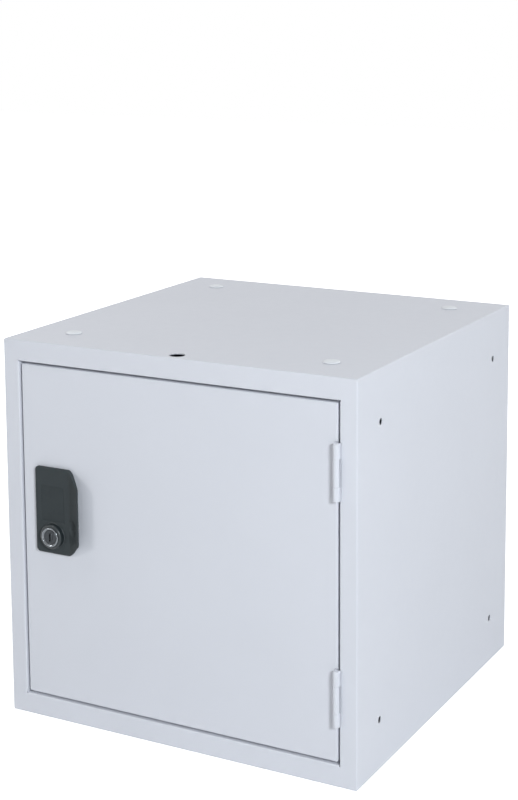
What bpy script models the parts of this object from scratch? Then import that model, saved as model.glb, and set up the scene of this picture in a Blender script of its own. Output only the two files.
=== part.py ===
"""Cube locker: a welded sheet-steel body, one hinged door, a cam lock and a moulded pull plate.

Sizes are in metres. The front faces -Y, the door hangs on its right edge, +Z is up, and the
origin is the middle of the underside.
"""

import math

import bmesh
import bpy
from mathutils import Matrix, Vector

for leftover in list(bpy.data.objects):
    bpy.data.objects.remove(leftover)

# Body
BODY_WIDTH = 0.3800
BODY_DEPTH = 0.3800
BODY_HEIGHT = 0.3800
SHEET = 0.0010
BEND_RADIUS = 0.0015
BEND_STEPS = 3
CLEARANCE = 0.0003
OVERRUN = 0.0020
STILE_WIDTH = 0.0175
RAIL_HEIGHT = 0.0210
FRAME_DEPTH = 0.0190
STOP_WIDTH = 0.0090
REAR_FLANGE = 0.0140
BACK_INSET = 0.0005
RELIEF_RADIUS = 0.0010
RELIEF_DEPTH = 0.0026
MITRE_OUT_SHARE = 0.5
MITRE_IN_SHARE = 1.6

# Holes in the body
BOLT_HOLE_RADIUS = 0.00325
BOLT_HOLE_INSET = 0.0490
HANGING_HOLE_RADIUS = 0.0090
HANGING_HOLE_INSET = 0.0122
PLUG_HOLE_RADIUS = 0.0050
HOLE_STEPS = 24

# Plugs in the holes of the top
CAP_RADIUS = 0.0080
CAP_RISE = 0.0020
CAP_RIM = 0.0006
CAP_BARB = 0.0006
CAP_BARB_LENGTH = 0.0022
CAP_DOME_STEPS = 4

# Door
DOOR_SIDE_GAP = 0.0024
DOOR_END_GAP = 0.0024
DOOR_SETBACK = 0.0010
DOOR_DEPTH = 0.0150
DOOR_LIP = 0.0120
DOOR_BEND_RADIUS = 0.0014
LIP_SLIT_WIDTH = 0.0010
LIP_SLIT_END = 0.0025

# Stiffener of the door
RIB_CROWN = 0.0240
RIB_FOOT = 0.0120
RIB_RISE = 0.0100
RIB_END_GAP = 0.0020
RIB_BEND_RADIUS = 0.0016

# Hinges
HINGE_LENGTH = 0.0530
HINGE_INSET = 0.0618
HINGE_PROUD = 0.0030
KNUCKLE_RADIUS = 0.0031
KNUCKLE_GAP = 0.0004
KNUCKLE_STEPS = 16
LOWER_KNUCKLE_SHARE = 0.25
UPPER_KNUCKLE_SHARE = 0.27
LEAF_THICKNESS = 0.0012
FRAME_LEAF_REACH = 0.0150
DOOR_LEAF_REACH = 0.0125
PIN_RADIUS = 0.0014
PIN_HEAD = 0.0005
NOTCH_MARGIN = 0.0008
NOTCH_DEPTH = 0.0024
HINGE_WINDOW_GAP = 0.0010

# Rivets of the door leaves
RIVET_SPACING = 0.0300
RIVET_SETBACK = 0.0080
RIVET_SHANK = 0.0015
RIVET_HEAD = 0.0026
RIVET_HEAD_RISE = 0.0008
RIVET_TAIL = 0.0022
RIVET_TAIL_RISE = 0.0014
RIVET_STEPS = 14

# Door buffers
BUFFER_RADIUS = 0.0034
BUFFER_STEM = 0.0019
BUFFER_BARB = 0.0007
BUFFER_BARB_LENGTH = 0.0015
BUFFER_SPACING = 0.2400

# Lock plate, measured from the lock's axis
LOCK_INSET = 0.0560
PLATE_LEFT = 0.0205
PLATE_RIGHT = 0.0342
PLATE_UP = 0.0676
PLATE_DOWN = 0.0183
PLATE_RISE = 0.0036
PLATE_CREASE = 0.0188
PLATE_CORNER = 0.0040
PLATE_CORNER_STEPS = 5
PLATE_EDGE_ROUND = 0.0006
LIP_RISE = 0.0125
LIP_THICKNESS = 0.0025
LIP_FOOT = 0.0036
TOP_CHAMFER_HEIGHT = 0.0152
BASE_CHAMFER_HEIGHT = 0.0146
BOSS_BASE_RADIUS = 0.0124
BOSS_TOP_RADIUS = 0.0102
BOSS_RISE = 0.0096
BOSS_ROUND = 0.0026
BOSS_ROUND_STEPS = 4
PEG_RADIUS = 0.0020
PEG_LENGTH = 0.0060
UPPER_PEG_UP = 0.0585
LOWER_PEG_RIGHT = 0.0175
LOWER_PEG_DOWN = 0.0070

# Push nuts on the plate's pegs
PUSH_NUT_RADIUS = 0.0055
PUSH_NUT_THICKNESS = 0.0008
PUSH_NUT_CROWN = 0.0012

# Number plate, measured from the lock's axis
LABEL_LEFT = 0.0150
LABEL_RIGHT = 0.0130
LABEL_LOW = 0.0126
LABEL_HIGH = 0.0495
LABEL_RECESS = 0.0012
LABEL_THICKNESS = 0.0007

# Lock barrel, plug and fastenings
BEZEL_RADIUS = 0.0095
BEZEL_RISE = 0.0107
BEZEL_ROUND = 0.0006
BEZEL_LIP = 0.0005
BARREL_RADIUS = 0.0082
BARREL_BACK = 0.0197
PLUG_FACE_RADIUS = 0.0072
PLUG_FACE_SINK = 0.0004
PLUG_FACE_THICKNESS = 0.0020
PLUG_CORE_RADIUS = 0.0055
KEYWAY_WIDTH = 0.0020
KEYWAY_HEIGHT = 0.0084
KEYWAY_DEPTH = 0.0120
TAIL_SIDE = 0.0068
LOCK_STEPS = 40
WASHER_RADIUS = 0.0118
WASHER_THICKNESS = 0.0010
NUT_ACROSS_FLATS = 0.0220
NUT_THICKNESS = 0.0040

# Cam and its screw
CAM_WIDTH = 0.0160
CAM_REACH = 0.0380
CAM_THICKNESS = 0.0020
CAM_CORNER = 0.0030
CAM_STEPS = 12
CAM_CORNER_STEPS = 3
CAM_WASHER_RADIUS = 0.0055
CAM_WASHER_THICKNESS = 0.0010
SCREW_HEAD_RADIUS = 0.0040
SCREW_HEAD_RISE = 0.0026
SCREW_SHANK = 0.0017
SCREW_LENGTH = 0.0110
SCREW_CROSS_WIDTH = 0.0011
SCREW_CROSS_LENGTH = 0.0044
SCREW_CROSS_DEPTH = 0.0012

# Places worked out from the sizes
HALF_WIDTH = BODY_WIDTH / 2
FRONT = -BODY_DEPTH / 2
REAR = BODY_DEPTH / 2
MIDDLE = BODY_HEIGHT / 2
REAR_SEAT = REAR - SHEET - CLEARANCE
OPENING_HALF = HALF_WIDTH - STILE_WIDTH
OPENING_LOW = RAIL_HEIGHT
OPENING_HIGH = BODY_HEIGHT - RAIL_HEIGHT
STOP_FACE = FRONT + FRAME_DEPTH
STOP_HALF = OPENING_HALF - STOP_WIDTH
DOOR_HALF = OPENING_HALF - DOOR_SIDE_GAP
DOOR_LOW = OPENING_LOW + DOOR_END_GAP
DOOR_HIGH = OPENING_HIGH - DOOR_END_GAP
DOOR_FACE = FRONT + DOOR_SETBACK
DOOR_INNER = DOOR_FACE + SHEET
DOOR_BACK = DOOR_FACE + DOOR_DEPTH
HINGE_X = OPENING_HALF + LEAF_THICKNESS - KNUCKLE_RADIUS
HINGE_Y = FRONT - HINGE_PROUD
HINGE_LEVELS = {"lower": DOOR_LOW + HINGE_INSET, "upper": DOOR_HIGH - HINGE_INSET}
LOCK_X = LOCK_INSET - HALF_WIDTH
BARREL_END = DOOR_FACE + BARREL_BACK
CAM_FACE = BARREL_END + CLEARANCE
CAM_REAR = CAM_FACE + CAM_THICKNESS

# Directions
RIGHT = Vector((1, 0, 0))
INWARD = Vector((0, 1, 0))
OUTWARD = Vector((0, -1, 0))
UP = Vector((0, 0, 1))

# Finishes: linear colour, roughness, metallic
PAINT = ((0.68, 0.70, 0.74), 0.38, 0.0)
MOULDED = ((0.045, 0.052, 0.057), 0.42, 0.0)
LABEL = ((0.050, 0.057, 0.062), 0.50, 0.0)
CHROME = ((0.82, 0.83, 0.84), 0.12, 1.0)
DARK_METAL = ((0.16, 0.17, 0.18), 0.35, 1.0)
ZINC = ((0.62, 0.63, 0.64), 0.38, 1.0)
RUBBER = ((0.030, 0.030, 0.032), 0.75, 0.0)
CAP_PLASTIC = ((0.60, 0.62, 0.66), 0.45, 0.0)


def finish(name, colour, roughness, metallic):
    """Material of one piece."""
    material = bpy.data.materials.new(name + "_finish")
    material.use_nodes = True
    shader = material.node_tree.nodes["Principled BSDF"]
    shader.inputs["Base Color"].default_value = (*colour, 1)
    shader.inputs["Roughness"].default_value = roughness
    shader.inputs["Metallic"].default_value = metallic
    return material


def piece(name, shape, look=None):
    """Object made from a bmesh. Without a look it is a cutter, which stays out of the model."""
    mesh = bpy.data.meshes.new(name)
    shape.to_mesh(mesh)
    shape.free()
    thing = bpy.data.objects.new(name, mesh)
    bpy.context.scene.collection.objects.link(thing)
    if look is None:
        thing.hide_render = True
        thing.display_type = "WIRE"
    else:
        mesh.materials.append(finish(name, *look))
    return thing


def smooth(thing):
    """Smooth shading that keeps the hard edges of a round piece."""
    thing.data.shade_smooth()
    thing.data.set_sharp_from_angle(angle=math.radians(35))
    return thing


def hang_on(thing, pivot, pivot_place):
    """Moves a piece's origin onto its joint's axis and parents it to the empty there."""
    thing.data.transform(Matrix.Translation(-pivot_place))
    thing.parent = pivot
    return thing


def boolean(thing, other, operation):
    """Boolean modifier with another object."""
    modifier = thing.modifiers.new(operation.lower() + "_" + other.name, "BOOLEAN")
    modifier.operation = operation
    modifier.object = other


def cut(thing, *cutters):
    """Takes each cutter's shape out of a piece."""
    for cutter in cutters:
        boolean(thing, cutter, "DIFFERENCE")
    return thing


def add(thing, *shapes):
    """Joins helper shapes to a piece."""
    for shape in shapes:
        boolean(thing, shape, "UNION")
    return thing


def box(name, low, high, look=None):
    """Block between two opposite corners."""
    shape = bmesh.new()
    bmesh.ops.create_cube(shape, size=1)
    low, high = Vector(low), Vector(high)
    shape.transform(Matrix.Translation((low + high) / 2) @ Matrix.Diagonal((*(high - low), 1)))
    return piece(name, shape, look)


def prism(name, outline, start, end, along, look=None):
    """Flat outline drawn out from start to end along one axis: its points are (x, y) along UP,
    and (x, z) along INWARD."""
    shape = bmesh.new()
    across = INWARD if along == UP else UP

    def layer(level):
        return [shape.verts.new(RIGHT * a + across * b + along * level) for a, b in outline]

    near, far = layer(start), layer(end)
    count = len(outline)
    shape.faces.new(near)
    shape.faces.new(far)
    for i in range(count):
        j = (i + 1) % count
        shape.faces.new((near[i], near[j], far[j], far[i]))
    bmesh.ops.recalc_face_normals(shape, faces=shape.faces)
    return piece(name, shape, look)


def turned(name, profile, centre, along, steps, look=None, bored=False):
    """Round solid from (radius, height) points, with the heights measured along an axis. A bored
    one joins its last point to its first. Any other ends on the axis or in a flat face."""
    shape = bmesh.new()
    turn = UP.rotation_difference(along).to_matrix()
    rings = []
    for radius, height in profile:
        angles = range(steps if radius > 0 else 1)
        spokes = [Matrix.Rotation(math.tau * i / steps, 3, "Z") @ RIGHT for i in angles]
        rings.append([shape.verts.new(centre + turn @ (radius * s + UP * height)) for s in spokes])
    pairs = list(zip(rings, rings[1:]))
    if bored:
        pairs.append((rings[-1], rings[0]))
    for near, far in pairs:
        for i in range(steps):
            j = (i + 1) % steps
            corners = (near[i % len(near)], near[j % len(near)], far[j % len(far)], far[i % len(far)])
            shape.faces.new(dict.fromkeys(corners))
    for ring in (rings[0], rings[-1]):
        if len(ring) > 1 and not bored:
            shape.faces.new(ring)
    bmesh.ops.recalc_face_normals(shape, faces=shape.faces)
    thing = piece(name, shape, look)
    return thing if look is None else smooth(thing)


def rod(name, radius, start, end, steps, look=None):
    """Plain round bar between two points."""
    start, end = Vector(start), Vector(end)
    length = (end - start).length
    profile = [(0, 0), (radius, 0), (radius, length), (0, length)]
    return turned(name, profile, start, (end - start).normalized(), steps, look)


def rectangle(half_width, low, high, level):
    """Corners of an upright rectangle: left and right at the bottom, then right and left on top."""
    places = [(-half_width, low), (half_width, low), (half_width, high), (-half_width, high)]
    return [Vector((x, level, z)) for x, z in places]


def fold(thing, thickness):
    """Gives a folded surface its sheet thickness, on the side away from its outer face."""
    modifier = thing.modifiers.new("sheet", "SOLIDIFY")
    modifier.thickness = thickness
    modifier.offset = -1
    modifier.use_even_offset = True
    return thing


def folded_box(name, rings, wall, closed, radius, look):
    """Sheet folded along a run of rectangles, from the rear to the front. The corners of the wall
    that starts at ring number wall are rounded as well as the folds."""
    shape = bmesh.new()
    loops = [[shape.verts.new(corner) for corner in ring] for ring in rings]
    sides = range(len(loops[0]))
    for near, far in zip(loops, loops[1:]):
        for i in sides:
            j = (i + 1) % len(near)
            shape.faces.new((near[i], near[j], far[j], far[i]))
    if closed:
        shape.faces.new(loops[-1])
    folds = loops[1:] if closed else loops[1:-1]
    edges = [shape.edges.get((loop[i], loop[i - 1])) for loop in folds for i in sides]
    edges += [shape.edges.get((loops[wall][i], loops[wall + 1][i])) for i in sides]
    bmesh.ops.bevel(shape, geom=edges, offset=radius, segments=BEND_STEPS, profile=0.5, affect="EDGES")
    return fold(smooth(piece(name, shape, look)), SHEET)


def folded_strip(name, points, low, high, radius, thickness, look):
    """Sheet folded along a line of (x, y) points and drawn out upwards."""
    shape = bmesh.new()
    columns = [[shape.verts.new((x, y, z)) for z in (low, high)] for x, y in points]
    for near, far in zip(columns, columns[1:]):
        shape.faces.new((near[0], far[0], far[1], near[1]))
    edges = [shape.edges.get(column) for column in columns[1:-1]]
    bmesh.ops.bevel(shape, geom=edges, offset=radius, segments=BEND_STEPS, profile=0.5, affect="EDGES")
    return fold(smooth(piece(name, shape, look)), thickness)


def arc(centre, radius, start, end, steps):
    """Points of an arc, from and to angles in degrees."""
    angles = [math.radians(start + (end - start) * i / steps) for i in range(steps + 1)]
    return [(centre[0] + radius * math.cos(a), centre[1] + radius * math.sin(a)) for a in angles]


def body_shell(name):
    """The whole welded body as one folded box, from the rear flange to the door stop."""
    rings = [
        rectangle(HALF_WIDTH - REAR_FLANGE, REAR_FLANGE, BODY_HEIGHT - REAR_FLANGE, REAR_SEAT),
        rectangle(HALF_WIDTH, 0, BODY_HEIGHT, REAR_SEAT),
        rectangle(HALF_WIDTH, 0, BODY_HEIGHT, FRONT),
        rectangle(OPENING_HALF, OPENING_LOW, OPENING_HIGH, FRONT),
        rectangle(OPENING_HALF, OPENING_LOW, OPENING_HIGH, STOP_FACE),
        rectangle(STOP_HALF, OPENING_LOW + STOP_WIDTH, OPENING_HIGH - STOP_WIDTH, STOP_FACE),
    ]
    return folded_box(name, rings, 1, False, BEND_RADIUS, PAINT)


def mitre_wedge(name, side):
    """Block that keeps one side of the body: 0 is the base, 1 the right, 2 the top, 3 the left."""
    corners = [(-HALF_WIDTH, 0), (HALF_WIDTH, 0), (HALF_WIDTH, BODY_HEIGHT), (-HALF_WIDTH, BODY_HEIGHT)]
    inwards = [(1, 1), (-1, 1), (-1, -1), (1, -1)]
    slopes = [Vector((x * STILE_WIDTH, z * RAIL_HEIGHT)) for x, z in inwards]
    first, last = side, (side + 1) % len(corners)
    start, end = Vector(corners[first]), Vector(corners[last])
    seam = (end - start).normalized() * (CLEARANCE / 2)
    outline = [
        start - slopes[first] * MITRE_OUT_SHARE + seam,
        end - slopes[last] * MITRE_OUT_SHARE - seam,
        end + slopes[last] * MITRE_IN_SHARE - seam,
        start + slopes[first] * MITRE_IN_SHARE + seam,
    ]
    return prism(name, outline, FRONT - OVERRUN, REAR + OVERRUN, INWARD)


def body_panel(name, side):
    """One side of the welded body: its wall, rear flange, front frame member and door stop."""
    panel = body_shell(name)
    boolean(panel, mitre_wedge(name + "_mitre", side), "INTERSECT")
    for i, corner in enumerate(rectangle(OPENING_HALF, OPENING_LOW, OPENING_HIGH, FRONT)):
        start, end = corner + OUTWARD * OVERRUN, corner + INWARD * RELIEF_DEPTH
        cut(panel, rod(f"{name}_relief_{i}", RELIEF_RADIUS, start, end, RIVET_STEPS))
    return panel


def bolt_places(across):
    """The four places of a bolt pattern, as (first, y) pairs about a middle."""
    first = across / 2 - BOLT_HOLE_INSET
    depth = BODY_DEPTH / 2 - BOLT_HOLE_INSET
    return [(a * first, b * depth) for a in (-1, 1) for b in (-1, 1)]


def side_panel(name, side, sign):
    """Side of the body, with its four bolt holes."""
    panel = body_panel(name, side)
    for i, (z, y) in enumerate(bolt_places(BODY_HEIGHT)):
        start = Vector((sign * (HALF_WIDTH + OVERRUN), y, MIDDLE + z))
        end = Vector((sign * (HALF_WIDTH - SHEET - OVERRUN), y, MIDDLE + z))
        cut(panel, rod(f"{name}_bolt_{i}", BOLT_HOLE_RADIUS, start, end, HOLE_STEPS))
    return panel


def level_panel(name, side, level, radius):
    """Top or base of the body, with four holes that line up in a stack."""
    panel = body_panel(name, side)
    for i, (x, y) in enumerate(bolt_places(BODY_WIDTH)):
        place = Vector((x, y, level))
        reach = UP * (SHEET + OVERRUN)
        cut(panel, rod(f"{name}_bolt_{i}", radius, place - reach, place + reach, HOLE_STEPS))
    return panel


def build_body():
    """The welded body and its back."""
    side_panel("side_panel_left", 3, -1)
    right = side_panel("side_panel_right", 1, 1)
    for name, level in HINGE_LEVELS.items():
        half = HINGE_LENGTH / 2 + CLEARANCE
        low = (OPENING_HALF - OVERRUN, FRONT - OVERRUN, level - half)
        side = HINGE_X + KNUCKLE_RADIUS + HINGE_WINDOW_GAP
        high = (side, FRONT + FRAME_LEAF_REACH + CLEARANCE, level + half)
        cut(right, box("hinge_window_" + name, low, high))
    left = bpy.data.objects["side_panel_left"]
    for i, place in enumerate(buffer_places()):
        reach = INWARD * (SHEET + OVERRUN)
        cut(left, rod(f"buffer_hole_{i}", BUFFER_STEM + CLEARANCE, place - reach, place + reach, RIVET_STEPS))
    top = level_panel("top_panel", 2, BODY_HEIGHT, PLUG_HOLE_RADIUS)
    hang = Vector((0, FRONT + HANGING_HOLE_INSET, BODY_HEIGHT))
    reach = UP * (SHEET + OVERRUN)
    cut(top, rod("hanging_hole", HANGING_HOLE_RADIUS, hang - reach, hang + reach, HOLE_STEPS))
    level_panel("base_panel", 0, 0, BOLT_HOLE_RADIUS)
    edge = HALF_WIDTH - BACK_INSET
    box("back_panel", (-edge, REAR - SHEET, BACK_INSET), (edge, REAR, BODY_HEIGHT - BACK_INSET), PAINT)


def build_caps():
    """The plugs that close the bolt holes of the top."""
    stem = PLUG_HOLE_RADIUS - CLEARANCE
    barb = PLUG_HOLE_RADIUS + CAP_BARB
    under = -SHEET - 2 * CLEARANCE
    dome = []
    for i in range(CAP_DOME_STEPS + 1):
        angle = math.radians(90 * i / CAP_DOME_STEPS)
        rise = CAP_RIM + (CAP_RISE - CAP_RIM) * math.sin(angle)
        dome.append((CAP_RADIUS * math.cos(angle) if i < CAP_DOME_STEPS else 0, rise))
    tip = under - CAP_BARB_LENGTH
    profile = [(0, tip), (stem, tip), (barb, under), (stem, under), (stem, 0), (CAP_RADIUS, 0), *dome]
    names = ["front_left", "rear_left", "front_right", "rear_right"]
    for name, (x, y) in zip(names, bolt_places(BODY_WIDTH)):
        centre = Vector((x, y, BODY_HEIGHT + CLEARANCE))
        turned("top_cap_" + name, profile, centre, UP, HOLE_STEPS, CAP_PLASTIC)


def buffer_places():
    """Where the buffers sit on the left door stop."""
    x = BEND_RADIUS + CLEARANCE + BUFFER_RADIUS - OPENING_HALF
    half = BUFFER_SPACING / 2
    return [Vector((x, STOP_FACE, MIDDLE + z)) for z in (-half, half)]


def build_buffers():
    """Rubber buffers pushed into the left door stop."""
    rise = STOP_FACE - DOOR_BACK - 2 * CLEARANCE
    under = -SHEET - 2 * CLEARANCE
    barb = BUFFER_STEM + CLEARANCE + BUFFER_BARB
    tip = under - BUFFER_BARB_LENGTH
    profile = [
        (0, tip),
        (BUFFER_STEM, tip),
        (barb, under),
        (BUFFER_STEM, under),
        (BUFFER_STEM, 0),
        (BUFFER_RADIUS, 0),
        (BUFFER_RADIUS, rise / 2),
        (BUFFER_STEM, rise),
        (0, rise),
    ]
    for name, place in zip(("lower", "upper"), buffer_places()):
        turned("door_buffer_" + name, profile, place + OUTWARD * CLEARANCE, OUTWARD, RIVET_STEPS, RUBBER)


def rivet_places(level):
    """Heights of the two rivets of one hinge."""
    return [level - RIVET_SPACING / 2, level + RIVET_SPACING / 2]


def build_door(pivot, pivot_place):
    """Door pan, with its openings for the hinges and the lock, and its stiffener."""
    rings = [
        rectangle(DOOR_HALF - DOOR_LIP, DOOR_LOW + DOOR_LIP, DOOR_HIGH - DOOR_LIP, DOOR_BACK),
        rectangle(DOOR_HALF, DOOR_LOW, DOOR_HIGH, DOOR_BACK),
        rectangle(DOOR_HALF, DOOR_LOW, DOOR_HIGH, DOOR_FACE),
    ]
    door = folded_box("door_panel", rings, 1, True, DOOR_BEND_RADIUS, PAINT)
    notch_start = HINGE_X - KNUCKLE_RADIUS - NOTCH_MARGIN
    half = HINGE_LENGTH / 2 + NOTCH_MARGIN
    for name, level in HINGE_LEVELS.items():
        notch_low = (notch_start, DOOR_FACE - OVERRUN, level - half)
        notch_high = (DOOR_HALF + OVERRUN, DOOR_FACE + NOTCH_DEPTH, level + half)
        cut(door, box("hinge_notch_" + name, notch_low, notch_high))
        for i, z in enumerate(rivet_places(level)):
            start = Vector((DOOR_HALF + OVERRUN, FRONT + RIVET_SETBACK, z))
            end = Vector((DOOR_HALF - SHEET - OVERRUN, FRONT + RIVET_SETBACK, z))
            cut(door, rod(f"rivet_hole_{name}_{i}", RIVET_SHANK + CLEARANCE, start, end, RIVET_STEPS))
    cut_lip_slits(door)
    lock = Vector((LOCK_X, DOOR_FACE, MIDDLE))
    reach = INWARD * (SHEET + OVERRUN)
    cut(door, rod("barrel_hole", BARREL_RADIUS + CLEARANCE, lock - reach, lock + reach, LOCK_STEPS))
    for name, place in peg_places().items():
        cut(door, rod("peg_hole_" + name, PEG_RADIUS + CLEARANCE, place - reach, place + reach, RIVET_STEPS))
    hang_on(door, pivot, pivot_place)

    crown, foot = RIB_CROWN / 2, RIB_CROWN / 2 + RIB_FOOT
    base = DOOR_INNER + CLEARANCE
    line = [(-foot, base), (-crown, base), (-crown, base + RIB_RISE)]
    line += [(crown, base + RIB_RISE), (crown, base), (foot, base)]
    low, high = DOOR_LOW + SHEET + RIB_END_GAP, DOOR_HIGH - SHEET - RIB_END_GAP
    hang_on(folded_strip("door_stiffener", line, low, high, RIB_BEND_RADIUS, SHEET, PAINT), pivot, pivot_place)


def cut_lip_slits(door):
    """Slits where the door's rear lips meet at the corners."""
    for i, corner in enumerate(rectangle(DOOR_HALF, DOOR_LOW, DOOR_HIGH, DOOR_BACK)):
        middle = Vector((0, DOOR_BACK, MIDDLE))
        inward = Vector((math.copysign(1, -corner.x), 0, math.copysign(1, middle.z - corner.z)))
        across = inward.cross(INWARD).normalized() * (LIP_SLIT_WIDTH / 2)
        near = corner + inward * LIP_SLIT_END
        far = corner + inward * (DOOR_LIP + OVERRUN)
        outline = [(p.x, p.z) for p in (near - across, near + across, far + across, far - across)]
        slit = prism(f"lip_slit_{i}", outline, DOOR_BACK - SHEET - CLEARANCE, DOOR_BACK + OVERRUN, INWARD)
        cut(door, slit)


def leaf_outline(sign, reach):
    """Section of a hinge leaf rolled round the pin: sign is 1 for the frame's leaf and -1 for the
    door's."""
    inner = KNUCKLE_RADIUS - LEAF_THICKNESS
    start = math.degrees(math.acos(inner / KNUCKLE_RADIUS))
    roll = arc((0, 0), KNUCKLE_RADIUS, start, 360, KNUCKLE_STEPS)
    line = [(KNUCKLE_RADIUS, reach), (inner, reach), *roll]
    return [(HINGE_X + sign * x, HINGE_Y + y) for x, y in line]


def hinge_leaf(name, sign, reach, level, cleared):
    """Leaf with its knuckles, cleared where the other leaf's knuckles turn."""
    low, high = level - HINGE_LENGTH / 2, level + HINGE_LENGTH / 2
    leaf = smooth(prism(name, leaf_outline(sign, reach), low, high, UP, PAINT))
    side = KNUCKLE_RADIUS + OVERRUN
    rear = HINGE_Y + KNUCKLE_RADIUS + CLEARANCE
    for i, (start, end) in enumerate(cleared):
        corner = (HINGE_X - side, HINGE_Y - side, start)
        cut(leaf, box(f"{name}_clearing_{i}", corner, (HINGE_X + side, rear, end)))
    foot = Vector((HINGE_X, HINGE_Y, low - OVERRUN))
    head = Vector((HINGE_X, HINGE_Y, high + OVERRUN))
    return cut(leaf, rod(name + "_bore", PIN_RADIUS + CLEARANCE, foot, head, KNUCKLE_STEPS))


def build_hinge(name, level, pivot, pivot_place):
    """One hinge: the leaf in the frame with two knuckles, the leaf in the door with one, the pin,
    and the rivets of the door's leaf."""
    low, high = level - HINGE_LENGTH / 2, level + HINGE_LENGTH / 2
    first = low + HINGE_LENGTH * LOWER_KNUCKLE_SHARE
    second = high - HINGE_LENGTH * UPPER_KNUCKLE_SHARE
    gap = KNUCKLE_GAP / 2
    frame_reach = HINGE_PROUD + FRAME_LEAF_REACH
    hinge_leaf("frame_leaf_" + name, 1, frame_reach, level, [(first - gap, second + gap)])
    cleared = [(low - OVERRUN, first + gap), (second - gap, high + OVERRUN)]
    leaf = hinge_leaf("door_leaf_" + name, -1, HINGE_PROUD + DOOR_LEAF_REACH, level, cleared)
    inner = HINGE_X - KNUCKLE_RADIUS
    shank = DOOR_HALF + CLEARANCE - inner + CLEARANCE
    for i, z in enumerate(rivet_places(level)):
        y = FRONT + RIVET_SETBACK
        start, end = Vector((inner - OVERRUN, y, z)), Vector((inner + LEAF_THICKNESS + OVERRUN, y, z))
        cut(leaf, rod(f"leaf_hole_{name}_{i}", RIVET_SHANK + CLEARANCE, start, end, RIVET_STEPS))
        profile = [(0, -RIVET_TAIL_RISE), (RIVET_SHANK, -RIVET_TAIL_RISE), (RIVET_TAIL, 0)]
        profile += [(RIVET_SHANK, 0), (RIVET_SHANK, shank), (RIVET_HEAD, shank)]
        profile += [(RIVET_SHANK, shank + RIVET_HEAD_RISE), (0, shank + RIVET_HEAD_RISE)]
        centre = Vector((inner - CLEARANCE, y, z))
        rivet = turned(f"hinge_rivet_{name}_{i + 1}", profile, centre, RIGHT, RIVET_STEPS, ZINC)
        hang_on(rivet, pivot, pivot_place)
    hang_on(leaf, pivot, pivot_place)
    foot, head = low - PIN_HEAD, high + PIN_HEAD
    rod("hinge_pin_" + name, PIN_RADIUS, (HINGE_X, HINGE_Y, foot), (HINGE_X, HINGE_Y, head), KNUCKLE_STEPS, ZINC)


def peg_places():
    """Where the lock plate's pegs pass through the door."""
    upper = Vector((LOCK_X, DOOR_FACE, MIDDLE + UPPER_PEG_UP))
    lower = Vector((LOCK_X + LOWER_PEG_RIGHT, DOOR_FACE, MIDDLE - LOWER_PEG_DOWN))
    return {"upper": upper, "lower": lower}


def plate_outline():
    """Front view of the lock plate: rounded on the left, chamfered on the right of its crease."""
    left, right = LOCK_X - PLATE_LEFT, LOCK_X + PLATE_RIGHT
    low, high = MIDDLE - PLATE_DOWN, MIDDLE + PLATE_UP
    inset = PLATE_CORNER
    outline = arc((left + inset, high - inset), inset, 90, 180, PLATE_CORNER_STEPS)
    outline += arc((left + inset, low + inset), inset, 180, 270, PLATE_CORNER_STEPS)
    outline += [(LOCK_X + PLATE_CREASE, low), (right, low + BASE_CHAMFER_HEIGHT)]
    outline += [(right, high - TOP_CHAMFER_HEIGHT), (LOCK_X + PLATE_CREASE, high)]
    return outline


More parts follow.
